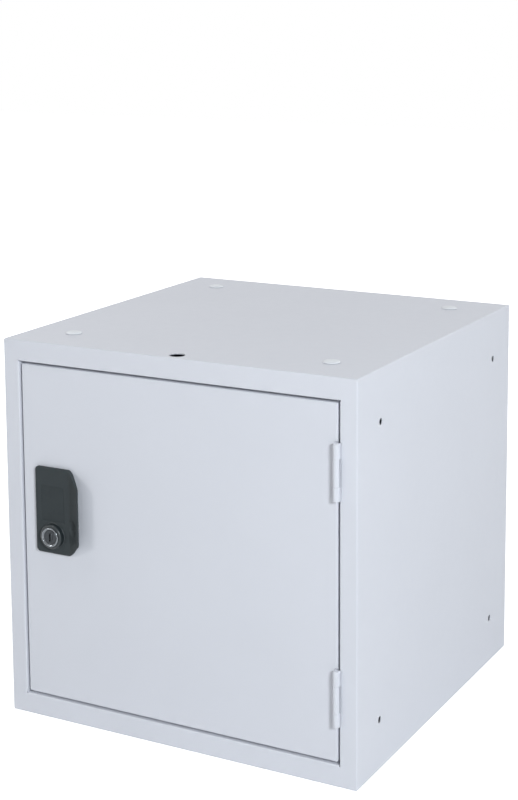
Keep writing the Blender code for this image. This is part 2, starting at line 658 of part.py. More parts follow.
def build_lock_plate(pivot, pivot_place):
    """Moulded plate with a finger lip that stands off the door, a boss for the lock, a recess for a
    number plate and two pegs held by push nuts."""
    left, crease, right = LOCK_X - PLATE_LEFT, LOCK_X + PLATE_CREASE, LOCK_X + PLATE_RIGHT
    back = DOOR_FACE - CLEARANCE
    steepness = (LIP_RISE - PLATE_RISE) / (right - crease)
    edge = DOOR_FACE - LIP_RISE - steepness * OVERRUN
    section = [
        (left - OVERRUN, back),
        (crease + LIP_FOOT, back),
        (right + OVERRUN, edge + LIP_THICKNESS),
        (right + OVERRUN, edge),
        (crease, DOOR_FACE - PLATE_RISE),
        (left - OVERRUN, DOOR_FACE - PLATE_RISE),
    ]
    low, high = MIDDLE - PLATE_DOWN - OVERRUN, MIDDLE + PLATE_UP + OVERRUN
    plate = prism("lock_plate", section, low, high, UP, MOULDED)
    mould = prism("plate_mould", plate_outline(), edge - OVERRUN, back + OVERRUN, INWARD)
    boolean(plate, mould, "INTERSECT")
    rounding = plate.modifiers.new("edges", "BEVEL")
    rounding.width = PLATE_EDGE_ROUND
    rounding.segments = 2
    rounding.angle_limit = math.radians(40)
    axis = Vector((LOCK_X, DOOR_FACE, MIDDLE))
    root = PLATE_RISE / 2
    boss = [(BOSS_BASE_RADIUS, root)]
    for i in range(BOSS_ROUND_STEPS + 1):
        turn = math.pi / 2 * i / BOSS_ROUND_STEPS
        radius = BOSS_TOP_RADIUS + (BOSS_BASE_RADIUS - BOSS_TOP_RADIUS) * math.cos(turn)
        boss.append((radius, BOSS_RISE - BOSS_ROUND * (1 - math.sin(turn))))
    add(plate, turned("lock_boss", boss, axis, OUTWARD, LOCK_STEPS))
    start, end = axis + INWARD * OVERRUN, axis + OUTWARD * (BOSS_RISE + OVERRUN)
    cut(plate, rod("boss_bore", BARREL_RADIUS + CLEARANCE, start, end, LOCK_STEPS))
    floor = DOOR_FACE - PLATE_RISE + LABEL_RECESS
    low = (LOCK_X - LABEL_LEFT, DOOR_FACE - PLATE_RISE - OVERRUN, MIDDLE + LABEL_LOW)
    cut(plate, box("label_recess", low, (LOCK_X + LABEL_RIGHT, floor, MIDDLE + LABEL_HIGH)))
    for name, place in peg_places().items():
        foot = place + OUTWARD * root
        add(plate, rod("peg_" + name, PEG_RADIUS, foot, place + INWARD * PEG_LENGTH, RIVET_STEPS))
        bore = PEG_RADIUS + CLEARANCE
        profile = [(bore, 0), (PUSH_NUT_RADIUS, 0), (PUSH_NUT_RADIUS, PUSH_NUT_THICKNESS)]
        profile += [(bore, PUSH_NUT_CROWN)]
        centre = place + INWARD * (SHEET + CLEARANCE)
        nut = turned("push_nut_" + name, profile, centre, INWARD, RIVET_STEPS, ZINC, bored=True)
        hang_on(nut, pivot, pivot_place)
    hang_on(plate, pivot, pivot_place)
    low = (LOCK_X - LABEL_LEFT + CLEARANCE, floor - CLEARANCE - LABEL_THICKNESS, MIDDLE + LABEL_LOW + CLEARANCE)
    high = (LOCK_X + LABEL_RIGHT - CLEARANCE, floor - CLEARANCE, MIDDLE + LABEL_HIGH - CLEARANCE)
    hang_on(box("number_plate", low, high, LABEL), pivot, pivot_place)


def build_lock(pivot, pivot_place, lock_pivot, axis):
    """Lock barrel with its washer and nut, and the plug that turns in it."""
    seat = BOSS_RISE + CLEARANCE
    face_bore = PLUG_FACE_RADIUS + CLEARANCE
    core_bore = PLUG_CORE_RADIUS + CLEARANCE
    plug_front = BEZEL_RISE - PLUG_FACE_SINK
    shoulder = plug_front - PLUG_FACE_THICKNESS
    profile = [(core_bore, -BARREL_BACK), (BARREL_RADIUS, -BARREL_BACK), (BARREL_RADIUS, seat)]
    profile += [(BEZEL_RADIUS, seat), (BEZEL_RADIUS, BEZEL_RISE - BEZEL_ROUND)]
    profile += [(BEZEL_RADIUS - BEZEL_ROUND, BEZEL_RISE), (face_bore + BEZEL_LIP, BEZEL_RISE)]
    profile += [(face_bore, BEZEL_RISE - BEZEL_LIP), (face_bore, shoulder - CLEARANCE)]
    profile += [(core_bore, shoulder - CLEARANCE)]
    barrel = turned("lock_barrel", profile, axis, OUTWARD, LOCK_STEPS, CHROME, bored=True)
    hang_on(barrel, pivot, pivot_place)

    bore = BARREL_RADIUS + CLEARANCE
    washer_seat = axis + INWARD * (SHEET + CLEARANCE)
    profile = [(bore, 0), (WASHER_RADIUS, 0), (WASHER_RADIUS, WASHER_THICKNESS), (bore, WASHER_THICKNESS)]
    washer = turned("lock_washer", profile, washer_seat, INWARD, LOCK_STEPS, ZINC, bored=True)
    hang_on(washer, pivot, pivot_place)
    nut_face = DOOR_INNER + WASHER_THICKNESS + 2 * CLEARANCE
    corner = NUT_ACROSS_FLATS / math.sqrt(3)
    hexagon = arc((LOCK_X, MIDDLE), corner, 0, 300, 5)
    nut = prism("lock_nut", hexagon, nut_face, nut_face + NUT_THICKNESS, INWARD, ZINC)
    start = Vector((LOCK_X, nut_face - OVERRUN, MIDDLE))
    cut(nut, rod("nut_bore", bore, start, start + INWARD * (NUT_THICKNESS + 2 * OVERRUN), LOCK_STEPS))
    hang_on(nut, pivot, pivot_place)

    tail_end = CAM_REAR - CLEARANCE
    core_end = DOOR_FACE - BARREL_END
    profile = [(0, core_end), (PLUG_CORE_RADIUS, core_end), (PLUG_CORE_RADIUS, shoulder)]
    profile += [(PLUG_FACE_RADIUS, shoulder), (PLUG_FACE_RADIUS, plug_front), (0, plug_front)]
    plug = turned("lock_plug", profile, axis, OUTWARD, LOCK_STEPS, DARK_METAL)
    half = TAIL_SIDE / 2
    low = (LOCK_X - half, BARREL_END - OVERRUN, MIDDLE - half)
    add(plug, box("plug_tail", low, (LOCK_X + half, tail_end, MIDDLE + half)))
    wide, tall = KEYWAY_WIDTH / 2, KEYWAY_HEIGHT / 2
    low = (LOCK_X - wide, DOOR_FACE - plug_front - OVERRUN, MIDDLE - tall)
    high = (LOCK_X + wide, DOOR_FACE - plug_front + KEYWAY_DEPTH, MIDDLE + tall)
    cut(plug, box("keyway", low, high))
    screw_seat = CAM_REAR + 2 * CLEARANCE + CAM_WASHER_THICKNESS
    start = Vector((LOCK_X, screw_seat, MIDDLE))
    end = start + OUTWARD * (SCREW_LENGTH + CLEARANCE)
    cut(plug, rod("plug_thread", SCREW_SHANK + CLEARANCE, start, end, RIVET_STEPS))
    hang_on(plug, lock_pivot, axis)
    return screw_seat


def build_cam(lock_pivot, axis, screw_seat):
    """Cam that turns with the plug and hooks behind the left door stop, and its screw."""
    side = CAM_WIDTH / 2
    inset = CAM_CORNER
    outline = arc((0, 0), side, 0, 180, CAM_STEPS)
    outline += arc((-side + inset, -CAM_REACH + inset), inset, 180, 270, CAM_CORNER_STEPS)
    outline += arc((side - inset, -CAM_REACH + inset), inset, 270, 360, CAM_CORNER_STEPS)
    outline = [(LOCK_X + x, MIDDLE + z) for x, z in outline]
    cam = prism("lock_cam", outline, CAM_FACE, CAM_REAR, INWARD, ZINC)
    half = TAIL_SIDE / 2 + CLEARANCE
    low = (LOCK_X - half, CAM_FACE - OVERRUN, MIDDLE - half)
    cut(cam, box("cam_square", low, (LOCK_X + half, CAM_REAR + OVERRUN, MIDDLE + half)))
    hang_on(cam, lock_pivot, axis)

    bore = SCREW_SHANK + CLEARANCE
    profile = [(bore, 0), (CAM_WASHER_RADIUS, 0), (CAM_WASHER_RADIUS, CAM_WASHER_THICKNESS)]
    profile += [(bore, CAM_WASHER_THICKNESS)]
    seat = Vector((LOCK_X, CAM_REAR + CLEARANCE, MIDDLE))
    hang_on(turned("cam_washer", profile, seat, INWARD, HOLE_STEPS, ZINC, bored=True), lock_pivot, axis)

    under = CLEARANCE
    round_off = SCREW_HEAD_RADIUS / 2
    profile = [(0, -SCREW_LENGTH), (SCREW_SHANK, -SCREW_LENGTH), (SCREW_SHANK, under)]
    profile += [(SCREW_HEAD_RADIUS, under), (SCREW_HEAD_RADIUS, SCREW_HEAD_RISE / 2)]
    profile += [(SCREW_HEAD_RADIUS - round_off / 2, SCREW_HEAD_RISE), (0, SCREW_HEAD_RISE)]
    seat = Vector((LOCK_X, screw_seat, MIDDLE))
    screw = turned("cam_screw", profile, seat, INWARD, HOLE_STEPS, ZINC)
    wide, long = SCREW_CROSS_WIDTH / 2, SCREW_CROSS_LENGTH / 2
    top = screw_seat + SCREW_HEAD_RISE
    for name, x, z in (("upright", wide, long), ("level", long, wide)):
        low = (LOCK_X - x, top - SCREW_CROSS_DEPTH, MIDDLE - z)
        cut(screw, box("screw_cross_" + name, low, (LOCK_X + x, top + OVERRUN, MIDDLE + z)))
    hang_on(screw, lock_pivot, axis)


def pivot_at(name, place, parent=None, parent_place=None):
    """Empty on a joint's axis."""
    pivot = bpy.data.objects.new(name, None)
    bpy.context.scene.collection.objects.link(pivot)
    pivot.location = place if parent is None else place - parent_place
    pivot.parent = parent
    return pivot


hinge_place = Vector((HINGE_X, HINGE_Y, MIDDLE))
door_pivot = pivot_at("door_pivot", hinge_place)
lock_axis = Vector((LOCK_X, DOOR_FACE, MIDDLE))
plug_pivot = pivot_at("plug_pivot", lock_axis, door_pivot, hinge_place)

build_body()
build_caps()
build_buffers()
build_door(door_pivot, hinge_place)
for hinge_name, hinge_level in HINGE_LEVELS.items():
    build_hinge(hinge_name, hinge_level, door_pivot, hinge_place)
build_lock_plate(door_pivot, hinge_place)
cam_screw_seat = build_lock(door_pivot, hinge_place, plug_pivot, lock_axis)
build_cam(plug_pivot, lock_axis, cam_screw_seat)
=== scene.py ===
# %% [markdown]
# # Cube locker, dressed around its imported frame
#
# A cube locker is a box of 1 mm sheet steel with a folded front frame, a pressed door on two hinges,
# and a cam lock in a moulded pull plate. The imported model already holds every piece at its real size
# and place, and it knows which pieces move together. This lesson adds the finishes, and remodels the
# pieces whose bends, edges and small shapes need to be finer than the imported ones. We load the packed
# model first, because each size and place below is read from it or stands beside it.

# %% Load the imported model
import math

import bmesh
import bpy
from mathutils import Matrix, Vector


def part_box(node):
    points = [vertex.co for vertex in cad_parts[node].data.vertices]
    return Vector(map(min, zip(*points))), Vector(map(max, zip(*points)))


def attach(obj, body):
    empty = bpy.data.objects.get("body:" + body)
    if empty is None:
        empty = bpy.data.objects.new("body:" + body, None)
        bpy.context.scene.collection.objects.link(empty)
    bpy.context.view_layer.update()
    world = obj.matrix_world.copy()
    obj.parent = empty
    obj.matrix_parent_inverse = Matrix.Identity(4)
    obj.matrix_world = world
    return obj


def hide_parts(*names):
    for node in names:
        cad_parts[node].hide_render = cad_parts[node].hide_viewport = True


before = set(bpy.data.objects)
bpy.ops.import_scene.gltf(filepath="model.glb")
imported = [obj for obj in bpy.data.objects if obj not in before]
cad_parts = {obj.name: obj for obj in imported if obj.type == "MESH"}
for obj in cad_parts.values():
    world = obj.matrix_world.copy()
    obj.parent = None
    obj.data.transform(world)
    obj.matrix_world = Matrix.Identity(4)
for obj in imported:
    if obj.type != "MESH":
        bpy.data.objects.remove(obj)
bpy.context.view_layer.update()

# %% [markdown]
# ## Helpers for modelling by hand
#
# Blender's operators work on whatever is selected, so every step starts by selecting nothing. A
# primitive is added at its real size, and its place is then applied to the mesh, so that each
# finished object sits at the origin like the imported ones. Faces and edges are picked by where they
# are and which way they face, as one would click on them. A face faces a direction here when the
# cosine of the angle between them is above 0.9.

# %% Selecting
MM = 0.001
AXES = {"X": (0, math.pi / 2, 0), "Y": (math.pi / 2, 0, 0), "Z": (0, 0, 0)}
FACING = 0.9
CLOSE = 0.01 * MM


def deselect_all():
    """Leaves edit mode and selects nothing."""
    if bpy.context.object and bpy.context.object.mode == "EDIT":
        bpy.ops.object.mode_set(mode="OBJECT")
    bpy.ops.object.select_all(action="DESELECT")


def select_only(piece):
    """Selects one piece and makes it the active one."""
    deselect_all()
    bpy.context.view_layer.objects.active = piece
    piece.select_set(True)


print("a face or an edge is picked within", CLOSE / MM, "mm")

# %% Starting from primitives


def settle(name):
    """Names the new primitive and moves its place into its mesh."""
    bpy.ops.object.transform_apply(location=True, rotation=True, scale=True)
    made = bpy.context.object
    made.name = name
    return made


def block(name, low, high):
    """A cube primitive stretched between two corners."""
    deselect_all()
    low, high = Vector(low), Vector(high)
    bpy.ops.mesh.primitive_cube_add(size=1, location=(low + high) / 2, scale=high - low)
    return settle(name)


def bar(name, radius, start, end, axis, steps=64):
    """A cylinder primitive between two points on a line along an axis."""
    deselect_all()
    start, end = Vector(start), Vector(end)
    bpy.ops.mesh.primitive_cylinder_add(
        vertices=steps,
        radius=radius,
        depth=(end - start).length,
        location=(start + end) / 2,
        rotation=AXES[axis],
    )
    return settle(name)


print("blocks and bars are ready")

# %% Picking faces and edges


def edit(piece, kind="FACE"):
    """Opens a piece in edit mode with nothing selected."""
    select_only(piece)
    bpy.ops.object.mode_set(mode="EDIT")
    bpy.ops.mesh.select_mode(type=kind)
    bpy.ops.mesh.select_all(action="DESELECT")


def pick_faces(test):
    """Selects the faces of the piece in edit mode whose middle and normal pass a test."""
    shape = bmesh.from_edit_mesh(bpy.context.object.data)
    for face in shape.faces:
        face.select_set(test(face.calc_center_median(), face.normal))
    bmesh.update_edit_mesh(bpy.context.object.data)


def pick_edges(test):
    """Selects the edges of the piece in edit mode whose two ends pass a test."""
    shape = bmesh.from_edit_mesh(bpy.context.object.data)
    for edge in shape.edges:
        edge.select_set(test(edge.verts[0].co, edge.verts[1].co))
    bmesh.update_edit_mesh(bpy.context.object.data)


def near(a, b):
    """Whether two lengths agree to a hundredth of a millimetre."""
    return abs(a - b) < CLOSE


print("helpers for selecting are ready")

# %% [markdown]
# ## Helpers for finishing a mesh
#
# Modifiers do what a workshop does: Solidify gives a folded surface its sheet thickness, Boolean
# drills and punches, Bevel breaks an edge. Each one is applied as soon as it is set. A broken edge
# shades well only if the large flat faces keep their own normals, which is what Weighted Normal is
# for.

# %% Modifiers, applied one by one


def apply_modifier(piece, kind, **settings):
    """Adds a modifier with its settings and applies it."""
    select_only(piece)
    modifier = piece.modifiers.new(kind.lower(), kind)
    for setting, value in settings.items():
        setattr(modifier, setting, value)
    bpy.ops.object.modifier_apply(modifier=modifier.name)


def joined(pieces):
    """One object from several."""
    deselect_all()
    for piece in pieces:
        piece.select_set(True)
    bpy.context.view_layer.objects.active = pieces[0]
    if len(pieces) > 1:
        bpy.ops.object.join()
    return pieces[0]


def shape_with(piece, tools, operation):
    """Cuts tools away from a piece, or melts them onto it, and deletes them."""
    tool = joined(tools)
    apply_modifier(piece, "BOOLEAN", operation=operation, object=tool)
    bpy.data.objects.remove(tool)
    return piece


def cut_away(piece, *tools):
    """Takes the shape of the tools out of a piece."""
    return shape_with(piece, list(tools), "DIFFERENCE")


def melt_on(piece, *tools):
    """Makes one body of a piece and others that overlap it, one at a time."""
    for tool in tools:
        shape_with(piece, [tool], "UNION")
    return piece


print("helpers for cutting and melting are ready")

# %% Edges and shading


def break_edges(piece, width, segments=2, angle=40):
    """Rounds every edge sharper than an angle."""
    rounding = {"width": width, "segments": segments, "angle_limit": math.radians(angle)}
    apply_modifier(piece, "BEVEL", limit_method="ANGLE", **rounding)
    return piece


def round_edges(piece, test, radius, segments=4):
    """Rounds the edges of a piece whose two ends pass a test."""
    edit(piece, "EDGE")
    pick_edges(test)
    bpy.ops.mesh.bevel(offset=radius, segments=segments, affect="EDGES")
    deselect_all()


def smooth(piece, angle=40):
    """Smooth shading with flat faces kept flat."""
    select_only(piece)
    bpy.ops.object.shade_smooth_by_angle(angle=math.radians(angle))
    apply_modifier(piece, "WEIGHTED_NORMAL", keep_sharp=True)
    return piece


def report(piece):
    """Prints how many faces a piece has by now."""
    print(piece.name + ":", len(piece.data.polygons), "faces")


print("helpers for finishing are ready")

# %% [markdown]
# ## Helpers for materials
#
# A colour is written as the sRGB hex value a designer would pick, and Blender wants linear light, so
# one function converts it. Another adds any node with its settings and links, and can join what it
# gives straight into a socket of the shader. Patterns read Object coordinates, which are in metres
# here, so a pattern's scale is one over its real size.

# %% Colours and nodes


def colour(hexadecimal):
    """Linear colour of an sRGB hex value."""
    parts = [int(hexadecimal[i : i + 2], 16) / 255 for i in (1, 3, 5)]
    return [p / 12.92 if p <= 0.04045 else ((p + 0.055) / 1.055) ** 2.4 for p in parts] + [1]


def add_node(tree, kind, settings=None, links=None, into=None):
    """Adds a node with settings, joins its inputs to outputs, and its own output into a socket."""
    node = tree.nodes.new(kind)
    for name, value in (settings or {}).items():
        if hasattr(node, name):
            setattr(node, name, value)
            continue
        next(s for s in node.inputs if s.name == name and s.enabled).default_value = value
    for name, output in (links or {}).items():
        tree.links.new(output, next(s for s in node.inputs if s.name == name and s.enabled))
    output = next(s for s in node.outputs if s.enabled)
    if into is not None:
        tree.links.new(output, into)
    return output


def new_finish(name, base, roughness, metallic=0.0, specular=0.5):
    """A material, with its tree, its shader's sockets and the place that patterns read."""
    material = bpy.data.materials.new(name)
    material.use_nodes = True
    tree = material.node_tree
    sockets = tree.nodes["Principled BSDF"].inputs
    sockets["Base Color"].default_value = colour(base)
    sockets["Roughness"].default_value = roughness
    sockets["Metallic"].default_value = metallic
    if not metallic:
        sockets["Specular IOR Level"].default_value = specular
    source = tree.nodes.new("ShaderNodeTexCoord")
    return material, tree, sockets, source.outputs["Object"]


def paint(piece, material):
    """Gives a piece one material."""
    piece.data.materials.clear()
    piece.data.materials.append(material)


NOISE, RANGE, MIX, BUMP = "ShaderNodeTexNoise", "ShaderNodeMapRange", "ShaderNodeMix", "ShaderNodeBump"
MIDDLE_OF_NOISE = {"From Min": 0.3, "From Max": 0.7}
print("helpers for materials are ready")

# %% [markdown]
# ## Powder coat
#
# The steel is powder coated: a dry polyester powder is sprayed on and melted in an oven. It flows into
# a tough semi-gloss skin, about 0.08 mm thick, that never quite levels and so keeps a faint ripple
# called orange peel. Noise of 1.6 mm gives that ripple, a broader one makes the sheen uneven, and a
# very broad one lets the light cool grey drift a little, as a sprayed coat does.

# %% Powder coat
ORANGE_PEEL = 1.6 * MM
PEEL_DEPTH = 0.012 * MM
SHEEN_PATCH = 9 * MM
SPRAY_PATCH = 90 * MM


def powder_coat():
    material, tree, sockets, place = new_finish("powder_coat_light_grey", "#D5D7DE", 0.5, specular=0.25)
    spray = add_node(tree, NOISE, {"Scale": 1 / SPRAY_PATCH}, {"Vector": place})
    coat = {"data_type": "RGBA", "A": colour("#D4D6DD"), "B": colour("#D7D9E0")}
    add_node(tree, MIX, coat, {"Factor": spray}, sockets["Base Color"])
    patch = add_node(tree, NOISE, {"Scale": 1 / SHEEN_PATCH}, {"Vector": place})
    span = MIDDLE_OF_NOISE | {"To Min": 0.46, "To Max": 0.54}
    add_node(tree, RANGE, span, {"Value": patch}, sockets["Roughness"])
    peel = add_node(tree, NOISE, {"Scale": 1 / ORANGE_PEEL, "Detail": 1.0}, {"Vector": place})
    add_node(tree, BUMP, {"Distance": PEEL_DEPTH}, {"Height": peel}, sockets["Normal"])
    return material


POWDER_COAT = powder_coat()
print("made", POWDER_COAT.name)

# %% [markdown]
# ## Moulded plastics
#
# The pull plate is glass-filled nylon, injection moulded in a spark-eroded tool. The tool leaves a
# fine even grit, 0.35 mm from crest to crest, and so a dull sheen on the charcoal grey. Its gloss is
# set low, so that the white surroundings don't lighten the slanted lip. The tool is polished where it
# forms the boss, so the boss round the lock is glossier: the material measures how far each point is
# from the lock's axis. The boss is also coloured darker there, which is a painted dark reflection. The
# blank number card has nearly the same colour. The caps in the top are light grey polyethylene.

# %% Moulded plastics
SPARK_GRIT = 0.35 * MM
GRIT_DEPTH = 0.015 * MM
FLOW_PATCH = 14 * MM
LOCK_X = -134 * MM
LOCK_Z = 190 * MM
PLATE_SPECULAR = 0.014
POLISH_RADIUS = 12.6 * MM
POLISH_FADE = 0.6 * MM
# Painted dark reflection: the boss is coloured darker than the rest of the plate.
BOSS_PAINTED_DARK_REFLECTION = "#252C2F"
POLISH_SPECULAR = 0.42
POLISH_ROUGHNESS = 0.36


def moulded_plastic(name, base, cloudy, specular, roughest, smoothest):
    material, tree, sockets, place = new_finish(name, base, roughest, specular=specular)
    flow = add_node(tree, NOISE, {"Scale": 1 / FLOW_PATCH}, {"Vector": place})
    resin = {"data_type": "RGBA", "A": colour(base), "B": colour(cloudy)}
    add_node(tree, MIX, resin, {"Factor": flow}, sockets["Base Color"])
    span = MIDDLE_OF_NOISE | {"To Min": smoothest, "To Max": roughest}
    add_node(tree, RANGE, span, {"Value": flow}, sockets["Roughness"])
    grit = add_node(tree, NOISE, {"Scale": 1 / SPARK_GRIT, "Detail": 1.0}, {"Vector": place})
    add_node(tree, BUMP, {"Distance": GRIT_DEPTH}, {"Height": grit}, sockets["Normal"])
    return material


def polish_and_paint_reflection_round_lock(material):
    """Gives the plastic near the lock's axis the sheen of a polished tool, and a darker colour there
    that is a painted dark reflection.
    """
    tree = material.node_tree
    sockets = tree.nodes["Principled BSDF"].inputs
    place = next(node for node in tree.nodes if node.type == "TEX_COORD").outputs["Object"]
    settings = {"Location": (-LOCK_X, 0, -LOCK_Z), "Scale": (1, 0, 1)}
    centred = add_node(tree, "ShaderNodeMapping", settings, {"Vector": place})
    away = add_node(tree, "ShaderNodeVectorMath", {"operation": "LENGTH"}, {"Vector": centred})
    ends = {"From Min": POLISH_RADIUS, "From Max": POLISH_RADIUS + POLISH_FADE}
    gloss = ends | {"To Min": POLISH_SPECULAR, "To Max": PLATE_SPECULAR}
    add_node(tree, RANGE, gloss, {"Value": away}, sockets["Specular IOR Level"])
    polish_and_painted_reflection_mask = add_node(tree, RANGE, ends | {"To Min": 0.0, "To Max": 1.0}, {"Value": away})
    flow = sockets["Base Color"].links[0].from_socket
    # Near the lock the colour is darkened here, a painted dark reflection on the boss.
    painted_dark_reflection = {"data_type": "RGBA", "A": colour(BOSS_PAINTED_DARK_REFLECTION)}
    add_node(tree, MIX, painted_dark_reflection, {"Factor": polish_and_painted_reflection_mask, "B": flow}, sockets["Base Color"])
    coarse = sockets["Roughness"].links[0].from_socket
    add_node(tree, MIX, {"A": POLISH_ROUGHNESS}, {"Factor": polish_and_painted_reflection_mask, "B": coarse}, sockets["Roughness"])


NYLON = moulded_plastic("moulded_nylon_charcoal", "#404547", "#44494B", PLATE_SPECULAR, 0.26, 0.2)
polish_and_paint_reflection_round_lock(NYLON)
CARD = moulded_plastic("number_card_charcoal", "#3E4345", "#424749", PLATE_SPECULAR, 0.34, 0.26)
CAP_PLASTIC = moulded_plastic("moulded_polyethylene_grey", "#DDE0E4", "#E0E3E7", 0.35, 0.5, 0.38)
print("made", NYLON.name, CARD.name, CAP_PLASTIC.name)

# %% [markdown]
# ## Plated metals
#
# The lock's bezel is die-cast zinc with bright chrome plate, nearly a mirror. Its plug is turned and
# nickel plated, so fine rings from the lathe run round the keyway. The real rings are about 0.1 mm
# apart, too fine to show, so they are drawn 0.6 mm apart. Both are coloured darker than bare plate,
# because they mirror white surroundings here, which would make them too pale. The hidden fastenings
# are bright zinc plated steel, cloudier and rougher than chrome, and the door's buffers are black
# moulded rubber.

# %% Chrome and nickel
WIPING_PATCH = 3 * MM
TURNING_PITCH = 0.6 * MM
TURNING_DEPTH = 0.008 * MM
RINGS_AT_SCALE_ONE = 2 * math.pi / 20


def chrome_plate():
    material, tree, sockets, place = new_finish("chrome_plate", "#7C8084", 0.1, 1.0)
    wiping = add_node(tree, NOISE, {"Scale": 1 / WIPING_PATCH}, {"Vector": place})
    span = MIDDLE_OF_NOISE | {"To Min": 0.06, "To Max": 0.14}
    add_node(tree, RANGE, span, {"Value": wiping}, sockets["Roughness"])
    return material


def turned_nickel():
    material, tree, sockets, place = new_finish("turned_nickel", "#464A4C", 0.3, 1.0)
    centre = add_node(tree, "ShaderNodeMapping", {"Location": (-LOCK_X, 0, -LOCK_Z)}, {"Vector": place})
    lathe = {"wave_type": "RINGS", "rings_direction": "Y", "Scale": RINGS_AT_SCALE_ONE / TURNING_PITCH}
    lathe |= {"Distortion": 0.6, "Detail": 1.0}
    rings = add_node(tree, "ShaderNodeTexWave", lathe, {"Vector": centre})
    plate = {"data_type": "RGBA", "A": colour("#34373A"), "B": colour("#4A4D50")}
    add_node(tree, MIX, plate, {"Factor": rings}, sockets["Base Color"])
    span = {"To Min": 0.24, "To Max": 0.36}
    add_node(tree, RANGE, span, {"Value": rings}, sockets["Roughness"])
    add_node(tree, BUMP, {"Distance": TURNING_DEPTH}, {"Height": rings}, sockets["Normal"])
    return material


CHROME = chrome_plate()
NICKEL = turned_nickel()
print("made", CHROME.name, NICKEL.name)

# %% Zinc and rubber
ZINC_SPANGLE = 4 * MM
RUBBER_BLOOM = 1 * MM


def zinc_plate():
    material, tree, sockets, place = new_finish("bright_zinc_plate", "#A0A3A6", 0.35, 1.0)
    cloud = add_node(tree, NOISE, {"Scale": 1 / ZINC_SPANGLE, "Detail": 4.0}, {"Vector": place})
    plate = {"data_type": "RGBA", "A": colour("#94989C"), "B": colour("#AEB1B3")}
    add_node(tree, MIX, plate, {"Factor": cloud}, sockets["Base Color"])
    span = MIDDLE_OF_NOISE | {"To Min": 0.28, "To Max": 0.42}
    add_node(tree, RANGE, span, {"Value": cloud}, sockets["Roughness"])
    return material


def moulded_rubber():
    material, tree, sockets, place = new_finish("moulded_rubber", "#232324", 0.72, specular=0.35)
    bloom = add_node(tree, NOISE, {"Scale": 1 / RUBBER_BLOOM}, {"Vector": place})
    span = MIDDLE_OF_NOISE | {"To Min": 0.66, "To Max": 0.8}
    add_node(tree, RANGE, span, {"Value": bloom}, sockets["Roughness"])
    return material


ZINC = zinc_plate()
RUBBER = moulded_rubber()
print("made", ZINC.name, RUBBER.name)

# %% [markdown]
# ## Sizes shared by the pieces
#
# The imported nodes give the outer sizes. The folds, flanges and holes inside a node aren't in its box,
# so they are named here, in millimetres as on the drawing.

# %% Sizes
SHEET = 1.0 * MM
GAP = 0.3 * MM
BEND = 1.5 * MM
STILE = 17.5 * MM
RAIL = 21.0 * MM
FRAME_DEPTH = 19.0 * MM
STOP_WIDTH = 9.0 * MM
REAR_FLANGE = 14.0 * MM
BOLT_INSET = 49.0 * MM
left_low, left_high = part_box("side_panel_left")
right_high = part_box("side_panel_right")[1]
back_low, back_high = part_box("back_panel")
door_low, door_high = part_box("door_panel")
BODY_LOW = Vector((left_low[0], left_low[1], 0))
BODY_HIGH = Vector((right_high[0], left_high[1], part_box("top_panel")[1][2]))
OPENING_LOW = Vector((BODY_LOW.x + STILE, 0, BODY_LOW.z + RAIL))
OPENING_HIGH = Vector((BODY_HIGH.x - STILE, 0, BODY_HIGH.z - RAIL))
FRONT = BODY_LOW.y
MIDDLE = (BODY_HIGH.z + BODY_LOW.z) / 2
print("body", [round(v / MM, 1) for v in BODY_HIGH - BODY_LOW], "mm")
print("door", [round((b - a) / MM, 1) for a, b in zip(door_low, door_high)], "mm")

# %% [markdown]
# ## The welded body
#
# On the real locker the folded sheets are welded into a box, the welds are ground flush and the whole
# is painted, so nothing shows where one sheet ends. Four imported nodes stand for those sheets, and one
# seamless shell takes their place here. We start from a cube of the outer size. The front face is
# inset to the frame's width, pushed in for the return that the door closes against, and inset again
# for the stop. The folds are then bevelled, and Solidify gives the surface its thickness.

# %% Body shell
CORNER_RELIEF = 1.0 * MM
RELIEF_DEPTH = 2.6 * MM
CUT = 2.0 * MM


def fold_body():
    """The folded surface, from a cube."""
    body = block("welded_body", BODY_LOW, BODY_HIGH)
    edit(body)
    pick_faces(lambda place, normal: normal.y < -FACING)
    bpy.ops.mesh.inset(thickness=STILE)
    height = BODY_HIGH.z - BODY_LOW.z
    squeeze = (height - 2 * RAIL) / (height - 2 * STILE)
    centre = (0, FRONT, MIDDLE)
    bpy.ops.transform.resize(value=(1, 1, squeeze), center_override=centre)
    bpy.ops.mesh.extrude_region_move(TRANSFORM_OT_translate={"value": (0, FRAME_DEPTH, 0)})
    bpy.ops.mesh.inset(thickness=STOP_WIDTH)
    bpy.ops.mesh.delete(type="FACE")
    pick_faces(lambda place, normal: normal.y > FACING and near(place.y, BODY_HIGH.y))
    bpy.ops.mesh.inset(thickness=REAR_FLANGE)
    bpy.ops.mesh.delete(type="FACE")
    return body


def on_fold(a, b):
    """Whether an edge is one that the press folds or the corner weld rounds."""
    ends = [(abs(point.x), abs(point.z - MIDDLE)) for point in (a, b)]

    def both_at(across, up):
        return all(near(x, across) for x, z in ends) or all(near(z, up) for x, z in ends)

    stop = FRONT + FRAME_DEPTH
    outside = both_at(BODY_HIGH.x, MIDDLE)
    opening = both_at(OPENING_HIGH.x, OPENING_HIGH.z - MIDDLE)
    level = near(a.y, b.y)
    if level and (near(a.y, FRONT) or near(a.y, BODY_HIGH.y)) and outside:
        return True
    if level and (near(a.y, FRONT) or near(a.y, stop)) and opening:
        return True
    return not level and near(min(a.y, b.y), FRONT) and near(max(a.y, b.y), BODY_HIGH.y)


welded_body = fold_body()
round_edges(welded_body, on_fold, BEND)
apply_modifier(welded_body, "SOLIDIFY", thickness=SHEET, offset=-1, use_even_offset=True)
report(welded_body)

# %% [markdown]
# Holes come next, as a turret punch would make them: four bolt holes in each side and the base, the
# plugs' holes in the top, the hole it hangs by in the paint line, the seats of the door buffers, and
# the windows that the hinges are let into. A round relief at each corner of the opening keeps the
# folds from tearing.

